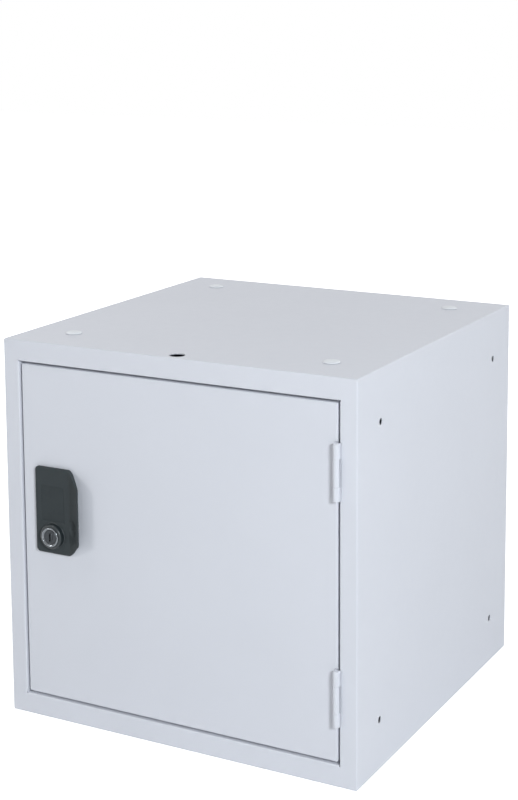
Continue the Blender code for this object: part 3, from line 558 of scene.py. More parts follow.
# %% Sizes of the holes
BOLT_RADIUS = 3.25 * MM
PLUG_RADIUS = 5.0 * MM
HANG_RADIUS = 7.6 * MM
HANG_INSET = 12.2 * MM
BUFFER_SEAT = 2.2 * MM
HINGE_X = 170.6 * MM
HINGE_Y = FRONT - 3.0 * MM
KNUCKLE = 3.1 * MM
HINGE_HALF = 26.5 * MM
LEAF_DEPTH = 15.0 * MM
WINDOW_GAP = 0.5 * MM
HINGES = {}
for level in ("lower", "upper"):
    low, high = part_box("frame_leaf_" + level)
    HINGES[level] = (low[2] + high[2]) / 2


def corners(node):
    """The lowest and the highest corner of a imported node."""
    return [Vector(corner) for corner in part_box(node)]


def middle_of(node):
    """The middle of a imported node's box."""
    low, high = corners(node)
    return [(a + b) / 2 for a, b in zip(low, high)]


print("hinges at", [round(z / MM, 1) for z in HINGES.values()], "mm")

# %% Holes in the body


def punch_body(body):
    tools = []
    reach_y, reach_z = BODY_LOW.y + BOLT_INSET, MIDDLE - BOLT_INSET
    for y in (reach_y, -reach_y):
        for z in (MIDDLE - reach_z, MIDDLE + reach_z):
            for x in (BODY_LOW.x, BODY_HIGH.x):
                tools.append(bar("punch", BOLT_RADIUS, (x - CUT, y, z), (x + CUT, y, z), "X", steps=48))
        for x in (BODY_LOW.x + BOLT_INSET, BODY_HIGH.x - BOLT_INSET):
            for z, radius in ((BODY_LOW.z, BOLT_RADIUS), (BODY_HIGH.z, PLUG_RADIUS)):
                tools.append(bar("punch", radius, (x, y, z - CUT), (x, y, z + CUT), "Z", steps=48))
    y, z = FRONT + HANG_INSET, BODY_HIGH.z
    tools.append(bar("punch", HANG_RADIUS, (0, y, z - CUT), (0, y, z + CUT), "Z"))
    for x in (OPENING_LOW.x, OPENING_HIGH.x):
        for z in (OPENING_LOW.z, OPENING_HIGH.z):
            start, end = (x, FRONT - CUT, z), (x, FRONT + RELIEF_DEPTH, z)
            tools.append(bar("relief", CORNER_RELIEF, start, end, "Y", steps=24))
    y = FRONT + FRAME_DEPTH
    for name in ("door_buffer_lower", "door_buffer_upper"):
        x, _, z = middle_of(name)
        tools.append(bar("seat", BUFFER_SEAT, (x, y - CUT, z), (x, y + CUT, z), "Y", steps=24))
    for z in HINGES.values():
        low = (OPENING_HIGH.x - CUT, FRONT - CUT, z - HINGE_HALF - GAP)
        high = (HINGE_X + KNUCKLE + WINDOW_GAP, FRONT + LEAF_DEPTH + GAP, z + HINGE_HALF + GAP)
        tools.append(block("window", low, high))
    return cut_away(body, *tools)


punch_body(welded_body)
smooth(welded_body)
paint(welded_body, POWDER_COAT)
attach(welded_body, "carcass")
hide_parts("side_panel_left", "side_panel_right", "top_panel", "base_panel")
report(welded_body)

# %% [markdown]
# ## The back
#
# The back is one flat sheet, spot welded to the rear flanges. Each weld leaves a shallow round dent
# about 5 mm across where the electrode pressed. The dents are cut with flat spheres, and the sheet's
# sheared edge is broken a little so that it catches the light.

# %% Back sheet with its spot welds
WELD_PITCH = 70 * MM
WELD_RADIUS = 2.6 * MM
WELD_DEPTH = 0.16 * MM
SHEARED_EDGE = 0.25 * MM


def back_sheet():
    back = block("back_sheet", back_low, back_high)
    break_edges(back, SHEARED_EDGE)
    inset = REAR_FLANGE / 2
    width, height = BODY_HIGH.x - inset, MIDDLE - inset
    count = round(2 * width / WELD_PITCH)
    dents = []
    for i in range(count + 1):
        share = 2 * i / count - 1
        places = [(share * width, MIDDLE - height), (share * width, MIDDLE + height)]
        if 0 < i < count:
            places += [(-width, MIDDLE + share * height), (width, MIDDLE + share * height)]
        for x, z in places:
            deselect_all()
            bpy.ops.mesh.primitive_uv_sphere_add(
                segments=20, ring_count=10, radius=WELD_RADIUS, location=(x, back_high[1], z)
            )
            bpy.context.object.scale.y = WELD_DEPTH / WELD_RADIUS
            dents.append(settle("dent"))
    return cut_away(back, *dents)


rear = smooth(back_sheet())
paint(rear, POWDER_COAT)
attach(rear, "carcass")
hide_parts("back_panel")
report(rear)

# %% [markdown]
# ## The door
#
# The door is a shallow pan: a flat front, four sides folded back 15 mm, and a lip folded in from each
# side. It comes from a cube in the same way as the body. The corners are welded and ground, so they
# are rounded as the folds are.

# %% Folding the door
DOOR_LIP = 12.0 * MM
DOOR_BEND = 1.4 * MM


def fold_door():
    door = block("door_pan", door_low, door_high)
    edit(door)
    pick_faces(lambda place, normal: normal.y > FACING)
    bpy.ops.mesh.inset(thickness=DOOR_LIP)
    bpy.ops.mesh.delete(type="FACE")
    low, high = Vector(door_low), Vector(door_high)

    def at_corner(point):
        return all(near(point[i], low[i]) or near(point[i], high[i]) for i in range(3))

    round_edges(door, lambda a, b: at_corner(a) and at_corner(b), DOOR_BEND)
    apply_modifier(door, "SOLIDIFY", thickness=SHEET, offset=-1, use_even_offset=True)
    return door


door_pan = fold_door()
report(door_pan)

# %% [markdown]
# A notch in the door's right edge clears each hinge, and slits in the lips show where they meet. The
# other holes are for the hinges' rivets, the lock's barrel and the pull plate's two pegs.

# %% Holes in the door
NOTCH = 0.4 * MM
NOTCH_DEPTH = 2.4 * MM
SLIT_WIDTH = 1.0 * MM
SLIT_END = 2.5 * MM
RIVET_HOLE = 1.8 * MM
BARREL_RADIUS = 8.2 * MM
PEG_RADIUS = 2.0 * MM
DOOR_FACE, DOOR_BACK = door_low[1], door_high[1]
PEGS = []
for name in ("push_nut_upper", "push_nut_lower"):
    x, _, z = middle_of(name)
    PEGS.append((x, z))


def on_axis(depth):
    """The point of the lock's axis at a depth behind the door's face."""
    return (LOCK_X, DOOR_FACE + depth, LOCK_Z)


def rivet_punches(prefix, inner, outer):
    """Punches for the rivets whose names start so, through a sheet that lies between two x."""
    punches = []
    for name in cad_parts:
        if name.startswith(prefix):
            _, y, z = middle_of(name)
            start, end = (inner - CUT, y, z), (outer + CUT, y, z)
            punches.append(bar("rivet_hole", RIVET_HOLE, start, end, "X", steps=24))
    return punches


def punch_door(door):
    tools = []
    for z in HINGES.values():
        low = (HINGE_X - KNUCKLE - NOTCH, DOOR_FACE - CUT, z - HINGE_HALF - NOTCH)
        high = (door_high[0] + CUT, DOOR_FACE + NOTCH_DEPTH, z + HINGE_HALF + NOTCH)
        tools.append(block("notch", low, high))
    tools += rivet_punches("hinge_rivet", door_high[0] - SHEET, door_high[0])
    tools.append(bar("barrel_hole", BARREL_RADIUS + GAP, on_axis(-CUT), on_axis(SHEET + CUT), "Y"))
    for x, z in PEGS:
        start, end = (x, DOOR_FACE - CUT, z), (x, DOOR_FACE + SHEET + CUT, z)
        tools.append(bar("peg_hole", PEG_RADIUS + GAP, start, end, "Y", steps=24))
    for x, turn in ((door_low[0], 1), (door_high[0], -1)):
        for z, rise in ((door_low[2], 1), (door_high[2], -1)):
            length = (DOOR_LIP - SLIT_END) * math.sqrt(2) + CUT
            slit = block("slit", (0, -SHEET - GAP, -SLIT_WIDTH / 2), (length, CUT, SLIT_WIDTH / 2))
            aim = Matrix.Rotation(-math.atan2(rise, turn), 4, "Y")
            corner = Vector((x + turn * SLIT_END, DOOR_BACK, z + rise * SLIT_END))
            slit.data.transform(Matrix.Translation(corner) @ aim)
            tools.append(slit)
    return cut_away(door, *tools)


smooth(punch_door(door_pan))
paint(door_pan, POWDER_COAT)
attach(door_pan, "door")
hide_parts("door_panel")
report(door_pan)

# %% [markdown]
# ## The stiffener behind the door
#
# A hat-shaped channel, glued and spot welded up the middle of the door, keeps the large flat face
# from drumming. A cube loses its ends and its front, the two front edges are extruded outwards as
# feet, and the folds are bevelled before Solidify.

# %% Door stiffener
rib_low, rib_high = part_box("door_stiffener")
RIB_FOOT = 12.0 * MM
RIB_BEND = 1.6 * MM


def hat_channel():
    low = (rib_low[0] + RIB_FOOT, rib_low[1], rib_low[2])
    high = (rib_high[0] - RIB_FOOT, rib_high[1], rib_high[2])
    rib = block("door_rib", low, high)
    edit(rib)
    pick_faces(lambda place, normal: abs(normal.z) > FACING or normal.y < -FACING)
    bpy.ops.mesh.delete(type="FACE")
    bpy.ops.mesh.select_mode(type="EDGE")
    for side in (-1, 1):
        pick_edges(lambda a, b: near(a.y, low[1]) and near(b.y, low[1]) and a.x * side > 0)
        bpy.ops.mesh.extrude_region_move(TRANSFORM_OT_translate={"value": (side * RIB_FOOT, 0, 0)})

    def on_crease(a, b):
        return near(abs(a.x), high[0]) and near(a.x, b.x) and not near(a.z, b.z)

    round_edges(rib, on_crease, RIB_BEND)
    edit(rib)
    bpy.ops.mesh.select_all(action="SELECT")
    bpy.ops.mesh.normals_make_consistent(inside=False)
    deselect_all()
    crown = max(rib.data.polygons, key=lambda face: face.center.y)
    inward = 1 if crown.normal.y > 0 else -1
    apply_modifier(rib, "SOLIDIFY", thickness=SHEET, offset=-inward, use_even_offset=True)
    return rib


door_rib = smooth(hat_channel())
paint(door_rib, POWDER_COAT)
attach(door_rib, "door")
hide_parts("door_stiffener")
report(door_rib)

# %% [markdown]
# ## The hinges
#
# Each hinge is two leaves rolled round a pin. The frame's leaf has the outer two knuckles, the door's
# leaf has the middle one. A knuckle starts as a cylinder whose ends are bevelled, and it is melted
# onto its leaf before the pin's hole is drilled. They were painted on the locker, so they share its
# coat.

# %% A hinge leaf
KNUCKLE_ROUND = 0.7 * MM
LEAF = 1.2 * MM
PIN = 1.4 * MM
PIN_FIT = 0.05 * MM
LEAF_EDGE = 0.2 * MM
KNUCKLE_EDGE = 0.1 * MM


def leaf_with_knuckles(name, node, side, spans):
    """A leaf whose knuckles fill these spans: side is 1 for the frame's leaf and -1 for the door's."""
    low, high = corners(node)
    outer = HINGE_X + side * KNUCKLE
    across = sorted((outer, outer - side * LEAF))
    front = HINGE_Y + KNUCKLE + GAP
    leaf = block(name, (across[0], front, low.z), (across[1], high.y, high.z))
    break_edges(leaf, LEAF_EDGE)

    def at_leaf_end(a, b):
        return near(a.z, b.z) and (near(a.z, low.z) or near(a.z, high.z))

    for start, end in spans:
        bottom, top = (HINGE_X, HINGE_Y, start), (HINGE_X, HINGE_Y, end)
        knuckle = bar("knuckle", KNUCKLE, bottom, top, "Z", steps=48)
        round_edges(knuckle, at_leaf_end, KNUCKLE_ROUND, segments=5)
        break_edges(knuckle, KNUCKLE_EDGE, segments=1, angle=60)
        web = block("web", (across[0], HINGE_Y, start), (across[1], front + LEAF, end))
        break_edges(web, LEAF_EDGE)
        melt_on(leaf, knuckle, web)
    foot, head = (HINGE_X, HINGE_Y, low.z - CUT), (HINGE_X, HINGE_Y, high.z + CUT)
    cut_away(leaf, bar("bore", PIN + PIN_FIT, foot, head, "Z", steps=32))
    smooth(leaf)
    paint(leaf, POWDER_COAT)
    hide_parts(node)
    return leaf


print("a leaf is", round(LEAF / MM, 1), "mm thick")

# %% Both hinges and their pins
KNUCKLE_GAP = 0.16 * MM
LOWER_SHARE = 0.25
UPPER_SHARE = 0.27
PIN_SINK = 0.15 * MM
PIN_EDGE = 0.3 * MM
for level, z in HINGES.items():
    low, high = z - HINGE_HALF, z + HINGE_HALF
    first = low + 2 * HINGE_HALF * LOWER_SHARE
    second = high - 2 * HINGE_HALF * UPPER_SHARE
    half = KNUCKLE_GAP / 2
    outer_spans = [(low, first - half), (second + half, high)]
    fixed = leaf_with_knuckles("frame_hinge_" + level, "frame_leaf_" + level, 1, outer_spans)
    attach(fixed, "carcass")
    middle_span = [(first + half, second - half)]
    moving = leaf_with_knuckles("door_hinge_" + level, "door_leaf_" + level, -1, middle_span)
    inner = HINGE_X - KNUCKLE
    cut_away(moving, *rivet_punches("hinge_rivet_" + level, inner, inner + LEAF))
    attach(moving, "door")
    foot, head = (HINGE_X, HINGE_Y, low + PIN_SINK), (HINGE_X, HINGE_Y, high - PIN_SINK)
    pin = bar("pin_" + level, PIN, foot, head, "Z", steps=32)
    break_edges(pin, PIN_EDGE, segments=3)
    smooth(pin)
    paint(pin, POWDER_COAT)
    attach(pin, "carcass")
    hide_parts("hinge_pin_" + level)
    print(level, "hinge at", round(z / MM, 1), "mm")

# %% [markdown]
# ## The pull plate
#
# This is the piece the hand meets. It is flat where the lock sits, and on its right it lifts off the
# door as a slanted lip with room for fingertips behind it. Its outline is simple while it is flat, so
# it starts as a flat blank: a block with rounded corners on the left, corners sliced off on the right,
# and every edge broken.

# %% Flat blank of the pull plate
plate_low, plate_high = corners("lock_plate")
PLATE_RISE = 3.6 * MM
PLATE_BACK = DOOR_FACE - GAP
CREASE = LOCK_X + 18.8 * MM
CORNER = 4.0 * MM
SLICED_CORNER = 1.6 * MM
TOP_CHAMFER = (CREASE, 15.2 * MM)
BASE_CHAMFER = (CREASE, 14.6 * MM)
EDGE_ROUND = 0.9 * MM


def slice_plane(place, normal):
    """Cuts the piece in edit mode by a plane. Nothing is removed."""
    bpy.ops.mesh.select_all(action="SELECT")
    bpy.ops.mesh.bisect(plane_co=place, plane_no=normal)


def slice_off(place, normal):
    """Cuts the piece in edit mode by a plane and closes it where it was cut."""
    bpy.ops.mesh.select_all(action="SELECT")
    bpy.ops.mesh.bisect(plane_co=place, plane_no=normal, clear_outer=True, use_fill=True)


def plate_blank():
    left, right = plate_low.x, plate_high.x
    front = DOOR_FACE - PLATE_RISE
    plate = block("pull_plate", (left, front, plate_low.z), (right, PLATE_BACK, plate_high.z))

    def at_left_corner(a, b):
        return near(a.x, left) and near(b.x, left) and not near(a.y, b.y)

    round_edges(plate, at_left_corner, CORNER, segments=8)
    edit(plate, "EDGE")
    for (x, drop), end, sign in ((TOP_CHAMFER, plate_high.z, 1), (BASE_CHAMFER, plate_low.z, -1)):
        slice_off((x, 0, end), (drop, 0, sign * (right - x)))
    round_edges(plate, lambda a, b: min(a.x, b.x) > LOCK_X and not near(a.y, b.y), SLICED_CORNER)
    return break_edges(plate, EDGE_ROUND, segments=4, angle=30)


pull_plate = plate_blank()
report(pull_plate)

# %% [markdown]
# The blank is now formed like a warm sheet in a press. Cuts across it give it points to move, and each
# point comes forward by a curve of its place: none over the flat part, a soft bend at the crease, then
# an even slope. The back follows its own curve, so that the lip thins towards its edge. A shallow
# scoop beside the lock makes room for the key's bow.

# %% Forming the lip and the scoop
LIP_FOOT = CREASE + 3.6 * MM
LIP_RISE = 12.5 * MM
LIP_THICKNESS = 2.5 * MM
CREASE_SOFTNESS = 1.6 * MM
FORM_STEP = 0.9 * MM
SCOOP_X, SCOOP_Z = LOCK_X + 24.5 * MM, LOCK_Z + 10.7 * MM
SCOOP_WIDE, SCOOP_TALL = 6.0 * MM, 9.5 * MM
SCOOP_DEPTH = 3.2 * MM


def lift(x, rise, start):
    """How far forward the plate stands at x: flat, then a bend, then an even slope up to the rise."""
    slope = rise / (plate_high.x - start)
    past = x - start
    if past > CREASE_SOFTNESS:
        return slope * past
    return slope * max(past + CREASE_SOFTNESS, 0) ** 2 / (4 * CREASE_SOFTNESS)


def scoop(x, z):
    """Depth of the scoop, which dies away smoothly at its rim."""
    across, up = (x - SCOOP_X) / SCOOP_WIDE, (z - SCOOP_Z) / SCOOP_TALL
    return SCOOP_DEPTH * max(1 - across**2 - up**2, 0) ** 2


def form_plate(plate):
    edit(plate)
    start = CREASE - CREASE_SOFTNESS
    for i in range(round((plate_high.x - start) / FORM_STEP)):
        slice_plane((start + i * FORM_STEP, 0, 0), (1, 0, 0))
    for i in range(round(2 * SCOOP_TALL / FORM_STEP) + 1):
        slice_plane((0, 0, SCOOP_Z - SCOOP_TALL + i * FORM_STEP), (0, 0, 1))
    shape = bmesh.from_edit_mesh(plate.data)
    for point in shape.verts:
        x, y, z = point.co
        front_share = (PLATE_BACK - y) / (PLATE_RISE - GAP)
        front = lift(x, LIP_RISE - PLATE_RISE, CREASE) - scoop(x, z)
        back = lift(x, LIP_RISE - LIP_THICKNESS - GAP, LIP_FOOT)
        point.co.y -= back + front_share * (front - back)
    bmesh.update_edit_mesh(plate.data)
    deselect_all()


form_plate(pull_plate)
report(pull_plate)

# %% [markdown]
# The number plate lies in a shallow recess whose walls slope, so that the moulding leaves its tool
# and each of the four walls catches the light differently. The lock stands in a round boss with a
# broad round shoulder and a small flare at its foot. The boss comes from extruding a cylinder's end
# ring by ring while it shrinks. Behind the plate two pegs pass through the door.

# %% Recess
LABEL = (-15.0 * MM, 13.0 * MM, 12.6 * MM, 49.5 * MM)
LABEL_DEPTH = 1.55 * MM
LABEL_WALL = 1.0 * MM
LABEL_CORNER = 0.8 * MM
CARD_DEPTH = 0.8 * MM


def recess_tool():
    """The recess: straight where the card lies, and sloping out above it."""
    left, right, low, high = LABEL
    wall, front = LABEL_WALL, DOOR_FACE - PLATE_RISE
    start = (LOCK_X + left + wall, front + CARD_DEPTH, LOCK_Z + low + wall)
    tool = block("recess", start, (LOCK_X + right - wall, front + LABEL_DEPTH, LOCK_Z + high - wall))
    round_edges(tool, lambda a, b: not near(a.y, b.y), LABEL_CORNER)
    edit(tool)
    pick_faces(lambda place, normal: normal.y < -FACING)
    overrun = 1.5
    bpy.ops.mesh.extrude_region_move(TRANSFORM_OT_translate={"value": (0, -CARD_DEPTH * overrun, 0)})
    spread = 2 * wall * overrun
    wider, taller = 1 + spread / (right - left - 2 * wall), 1 + spread / (high - low - 2 * wall)
    middle = (LOCK_X + (left + right) / 2, front, LOCK_Z + (low + high) / 2)
    bpy.ops.transform.resize(value=(wider, 1, taller), center_override=middle)
    deselect_all()
    return tool


cut_away(pull_plate, recess_tool())
report(pull_plate)

# %% Growing a solid ring by ring


def turned(name, rings, centre, axis, steps=96):
    """A solid grown from a short cylinder: each ring is (radius, distance along the axis)."""
    direction = {"X": Vector((1, 0, 0)), "Y": Vector((0, -1, 0)), "Z": Vector((0, 0, 1))}[axis]
    centre = Vector(centre)
    (radius, start), (second, end) = rings[:2]
    piece = bar(name, radius, centre + direction * start, centre + direction * end, axis, steps)
    edit(piece)
    cap = centre + direction * end
    pick_faces(lambda place, normal: normal.dot(direction) > FACING)
    bpy.ops.transform.resize(value=(second / radius,) * 3, center_override=cap)
    previous, level = second, end
    for radius, height in rings[2:]:
        step = direction * (height - level)
        bpy.ops.mesh.extrude_region_move(TRANSFORM_OT_translate={"value": step})
        cap = centre + direction * height
        bpy.ops.transform.resize(value=(radius / previous,) * 3, center_override=cap)
        previous, level = radius, height
    deselect_all()
    return piece


print("rings are ready to grow")

# %% Boss and pegs
BOSS_TOP = 10.2 * MM
BOSS_BASE = 12.4 * MM
BOSS_RISE = 9.6 * MM
BOSS_ROUND = 2.6 * MM
BOSS_STEPS = 8
FLARE = 0.8 * MM
FLARE_STEPS = 6
PEG_EDGE = 0.4 * MM


def boss_rings():
    foot = PLATE_RISE - LABEL_DEPTH
    rings = [(BOSS_BASE, foot), (BOSS_BASE + FLARE, PLATE_RISE - LABEL_DEPTH / 2)]
    for i in range(FLARE_STEPS + 1):
        angle = math.pi / 2 * i / FLARE_STEPS
        radius = BOSS_BASE + FLARE * (1 - math.sin(angle))
        rings.append((radius, PLATE_RISE + FLARE * (1 - math.cos(angle))))
    for i in range(BOSS_STEPS + 1):
        angle = math.pi / 2 * i / BOSS_STEPS
        radius = BOSS_TOP + (BOSS_BASE - BOSS_TOP) * math.cos(angle)
        rings.append((radius, BOSS_RISE - BOSS_ROUND * (1 - math.sin(angle))))
    return rings


axis_point = on_axis(0)
melt_on(pull_plate, turned("boss", boss_rings(), axis_point, "Y"))
bore = bar("bore", BARREL_RADIUS + GAP, on_axis(CUT), on_axis(-2 * BOSS_RISE), "Y")
cut_away(pull_plate, bore)
for x, z in PEGS:
    peg = bar("peg", PEG_RADIUS, (x, DOOR_FACE - PLATE_RISE / 2, z), (x, plate_high.y, z), "Y", steps=32)
    break_edges(peg, PEG_EDGE)
    melt_on(pull_plate, peg)
smooth(pull_plate, angle=35)
paint(pull_plate, NYLON)
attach(pull_plate, "door")
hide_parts("lock_plate")
report(pull_plate)

# %% [markdown]
# ## The number plate
#
# Such lockers are told apart by a number on a small card in the recess. This one is left blank. It
# needs hardly any modelling: a thin block with round corners, at the bottom of the recess.

# %% Blank number plate
CARD_EDGE = 0.05 * MM
card_low, card_high = corners("number_plate")
card_seat = DOOR_FACE - PLATE_RISE + CARD_DEPTH - card_low.y
inset = LABEL_WALL - GAP
low = card_low + Vector((inset, card_seat, inset))
high = card_high + Vector((-inset, card_seat, -inset))
card = block("blank_card", low, high)
round_edges(card, lambda a, b: not near(a.y, b.y), LABEL_CORNER)
break_edges(card, CARD_EDGE, segments=1)
smooth(card)
paint(card, CARD)
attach(card, "door")
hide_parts("number_plate")
print("number plate left blank:", [round((b - a) / MM, 1) for a, b in zip(card_low, card_high)], "mm")

# %% [markdown]
# ## The lock barrel
#
# The barrel is one die casting: a bright bezel that sits on the boss and a body that reaches through
# the door. Its rim is a half-round bead, and inside it a cone leads the key to the plug. It grows ring
# by ring as the boss did. A short ring before each step keeps the long wall's shading out of the
# corner.

# %% Barrel
BEZEL = 9.5 * MM
BEZEL_RISE = 10.7 * MM
BEZEL_ROLL = 0.7 * MM
ROLL_STEPS = 9
FACE = 7.2 * MM
FACE_SINK = 0.9 * MM
FACE_LEVEL = BEZEL_RISE - FACE_SINK
FLANGE = 2.0 * MM
MOUTH_EDGE = 0.2 * MM
STEP_RING = 0.1 * MM
CORE = 5.5 * MM
BARREL_BACK = 19.7 * MM
SEAT = BOSS_RISE + GAP


def bezel_rings():
    rings = [(BARREL_RADIUS, -BARREL_BACK), (BARREL_RADIUS, SEAT - STEP_RING)]
    rings += [(BARREL_RADIUS, SEAT), (BEZEL, SEAT), (BEZEL, BEZEL_RISE - BEZEL_ROLL)]
    for i in range(1, ROLL_STEPS):
        angle = math.pi * i / ROLL_STEPS
        inset, rise = BEZEL_ROLL * (1 - math.cos(angle)), BEZEL_ROLL * (1 - math.sin(angle))
        rings.append((BEZEL - inset, BEZEL_RISE - rise))
    mouth = FACE + GAP / 2
    rings += [(BEZEL - 2 * BEZEL_ROLL, BEZEL_RISE - BEZEL_ROLL), (mouth + MOUTH_EDGE, FACE_LEVEL)]
    rings += [(mouth, FACE_LEVEL - MOUTH_EDGE), (mouth, FACE_LEVEL - FLANGE - GAP)]
    return rings


barrel = turned("bezel_barrel", bezel_rings(), axis_point, "Y")
start, end = on_axis(BARREL_BACK + CUT), on_axis(-BEZEL_RISE - CUT)
cut_away(barrel, bar("core_bore", CORE + GAP, start, end, "Y", steps=96))
smooth(barrel, angle=35)
paint(barrel, CHROME)
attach(barrel, "door")
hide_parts("lock_barrel")
report(barrel)

# %% [markdown]
# ## The plug that the key turns
#
# The plug turns in the barrel. Its face has a fine groove round it and an oval collar in the middle,
# made round like the face and then stretched. Behind the barrel its square tail carries the cam, and
# the cam's screw goes into its end.

# %% Plug, collar and tail
FACE_EDGE = 0.35 * MM
GROOVE = 6.0 * MM
GROOVE_HALF = 0.2 * MM
GROOVE_DEPTH = 0.12 * MM
COLLAR_WIDE, COLLAR_TALL, COLLAR_RISE = 2.9 * MM, 5.2 * MM, 0.5 * MM
COLLAR_STEPS = 5
TAIL = 3.4 * MM
TAIL_EDGE = 0.3 * MM
SCREW_RADIUS = 2.0 * MM
SCREW_DEPTH = 10 * MM
CAM_BACK = corners("lock_cam")[1].y


def plug_rings():
    back = FACE_LEVEL - FLANGE
    rings = [(CORE, -BARREL_BACK), (CORE, back - STEP_RING), (CORE, back), (FACE, back)]
    rings += [(FACE, FACE_LEVEL - FACE_EDGE), (FACE - FACE_EDGE, FACE_LEVEL)]
    rings += [(GROOVE + GROOVE_HALF, FACE_LEVEL), (GROOVE, FACE_LEVEL - GROOVE_DEPTH)]
    rings += [(GROOVE - GROOVE_HALF, FACE_LEVEL)]
    return rings


def collar_rings():
    rings = [(COLLAR_WIDE, FACE_LEVEL - COLLAR_RISE), (COLLAR_WIDE, FACE_LEVEL)]
    for i in range(1, COLLAR_STEPS + 1):
        angle = math.pi / 2 * i / COLLAR_STEPS
        radius = COLLAR_WIDE - COLLAR_RISE * (1 - math.cos(angle))
        rings.append((radius, FACE_LEVEL + COLLAR_RISE * math.sin(angle)))
    return rings


plug = turned("key_plug", plug_rings(), axis_point, "Y")
collar = turned("collar", collar_rings(), axis_point, "Y", steps=48)
edit(collar)
bpy.ops.mesh.select_all(action="SELECT")
bpy.ops.transform.resize(value=(1, 1, COLLAR_TALL / COLLAR_WIDE), center_override=axis_point)
deselect_all()
melt_on(plug, collar)
low = (LOCK_X - TAIL, DOOR_FACE + BARREL_BACK - CUT, LOCK_Z - TAIL)
high = (LOCK_X + TAIL, CAM_BACK - GAP, LOCK_Z + TAIL)
tail = block("tail", low, high)
break_edges(tail, TAIL_EDGE)
melt_on(plug, tail)
report(plug)

# %% [markdown]
# The keyway is a slot through the collar. Three small wards stand on its left wall, where their round
# ends catch the light, so the slot is cut by a block that they have already been cut out of.

# %% Keyway with its wards
KEY_WIDE, KEY_TALL, KEY_DEEP = 1.8 * MM, 8.0 * MM, 12.0 * MM
WARD, WARD_PITCH, WARD_RAISE = 0.65 * MM, 2.2 * MM, 0.6 * MM
face_y = DOOR_FACE - BEZEL_RISE + FACE_SINK
wall_x = LOCK_X - KEY_WIDE / 2
low = (wall_x, face_y - CUT, LOCK_Z - KEY_TALL / 2)
high = (LOCK_X + KEY_WIDE / 2, face_y + KEY_DEEP, LOCK_Z + KEY_TALL / 2)
keyway = block("keyway", low, high)
ward_levels = [LOCK_Z + i * WARD_PITCH + WARD_RAISE for i in (-1, 0, 1)]
wards = []
for z in ward_levels:
    start, end = (wall_x, face_y - CUT, z), (wall_x, face_y + KEY_DEEP, z)
    wards.append(bar("ward", WARD, start, end, "Y", steps=16))
cut_away(keyway, joined(wards))
cut_away(plug, keyway)
for z in ward_levels:
    deselect_all()
    place = (wall_x, face_y, z)
    bpy.ops.mesh.primitive_uv_sphere_add(segments=20, ring_count=12, radius=WARD, location=place)
    melt_on(plug, settle("ward_end"))
start, end = (LOCK_X, CAM_BACK + CUT, LOCK_Z), (LOCK_X, CAM_BACK - SCREW_DEPTH, LOCK_Z)
cut_away(plug, bar("thread", SCREW_RADIUS, start, end, "Y", steps=32))
smooth(plug, angle=35)
paint(plug, NICKEL)
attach(plug, "lock_cylinder")
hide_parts("lock_plug")
report(plug)

# %% [markdown]
# ## Plugs in the top
#
# Push-in plastic plugs close the stacking holes of the top. Each has a low dome over a thin rim, and
# a barbed stem below the sheet.

# %% Top plugs
CAP = 8.0 * MM
CAP_RIM = 0.5 * MM
CAP_RISE = 2.0 * MM
CAP_EDGE = 0.15 * MM
CAP_STEPS = 9
STEM = PLUG_RADIUS - GAP
STEM_LENGTH = 2.2 * MM
STEM_TAPER = 0.8 * MM
BARB = 0.6 * MM


def cap_rings():
    under = -SHEET - 2 * GAP
    rings = [(STEM - STEM_TAPER, under - STEM_LENGTH), (PLUG_RADIUS + BARB, under), (STEM, under)]
    rings += [(STEM, 0), (CAP, 0), (CAP, CAP_RIM - CAP_EDGE), (CAP - CAP_EDGE, CAP_RIM)]
    for i in range(1, CAP_STEPS):
        angle = math.pi / 2 * i / CAP_STEPS
        radius = (CAP - CAP_EDGE) * math.cos(angle)
        rings.append((radius, CAP_RIM + (CAP_RISE - CAP_RIM) * math.sin(angle)))
    return rings


for name in [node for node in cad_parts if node.startswith("top_cap_")]:
    x, y, _ = middle_of(name)
    centre = (x, y, BODY_HIGH.z + GAP)
    cap = turned("plug_" + name.removeprefix("top_cap_"), cap_rings(), centre, "Z", steps=48)
    smooth(cap)
    paint(cap, CAP_PLASTIC)
    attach(cap, "carcass")
    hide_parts(name)
print("four top plugs")

# %% [markdown]
# ## Fastenings inside the door
#
# The nut, washers, cam, screw, push nuts, rivets and buffers have the right shape already, but their
# edges are perfectly sharp, which no real edge is. Each is copied, its loose triangles are merged,
# flat faces are dissolved back into whole ones, and its edges are broken. The number in each row is
# how wide the broken edge is, in millimetres.

# %% Softened copies
SAME_POINT = 0.002 * MM
SAME_FACE = math.radians(1)
SOFTENED = (
    ("door", ZINC, "zinc", {"lock_nut": 0.4, "lock_washer": 0.15}),
    ("door", ZINC, "zinc", {"push_nut_upper": 0.1, "push_nut_lower": 0.1}),
    ("lock_cylinder", ZINC, "zinc", {"lock_cam": 0.25, "cam_washer": 0.12, "cam_screw": 0.12}),
    ("carcass", RUBBER, "rubber", {"door_buffer_upper": 0.3, "door_buffer_lower": 0.3}),
    ("door", ZINC, "zinc", {"hinge_rivet_upper_1": 0.12, "hinge_rivet_upper_2": 0.12}),
    ("door", ZINC, "zinc", {"hinge_rivet_lower_1": 0.12, "hinge_rivet_lower_2": 0.12}),
)


def softened(node, width):
    """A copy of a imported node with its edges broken."""
    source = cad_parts[node]
    copy = bpy.data.objects.new("soft_" + node, source.data.copy())
    bpy.context.scene.collection.objects.link(copy)
    edit(copy)
    bpy.ops.mesh.select_all(action="SELECT")
    bpy.ops.mesh.remove_doubles(threshold=SAME_POINT)
    bpy.ops.mesh.dissolve_limited(angle_limit=SAME_FACE)
    deselect_all()
    return smooth(break_edges(copy, width * MM, angle=35))


for body, material, slot, widths in SOFTENED:
    for node, width in widths.items():
        copy = softened(node, width)
        paint(copy, material)
        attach(copy, body)
        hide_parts(node)
print(sum(len(widths) for *_, widths in SOFTENED), "fastenings softened")

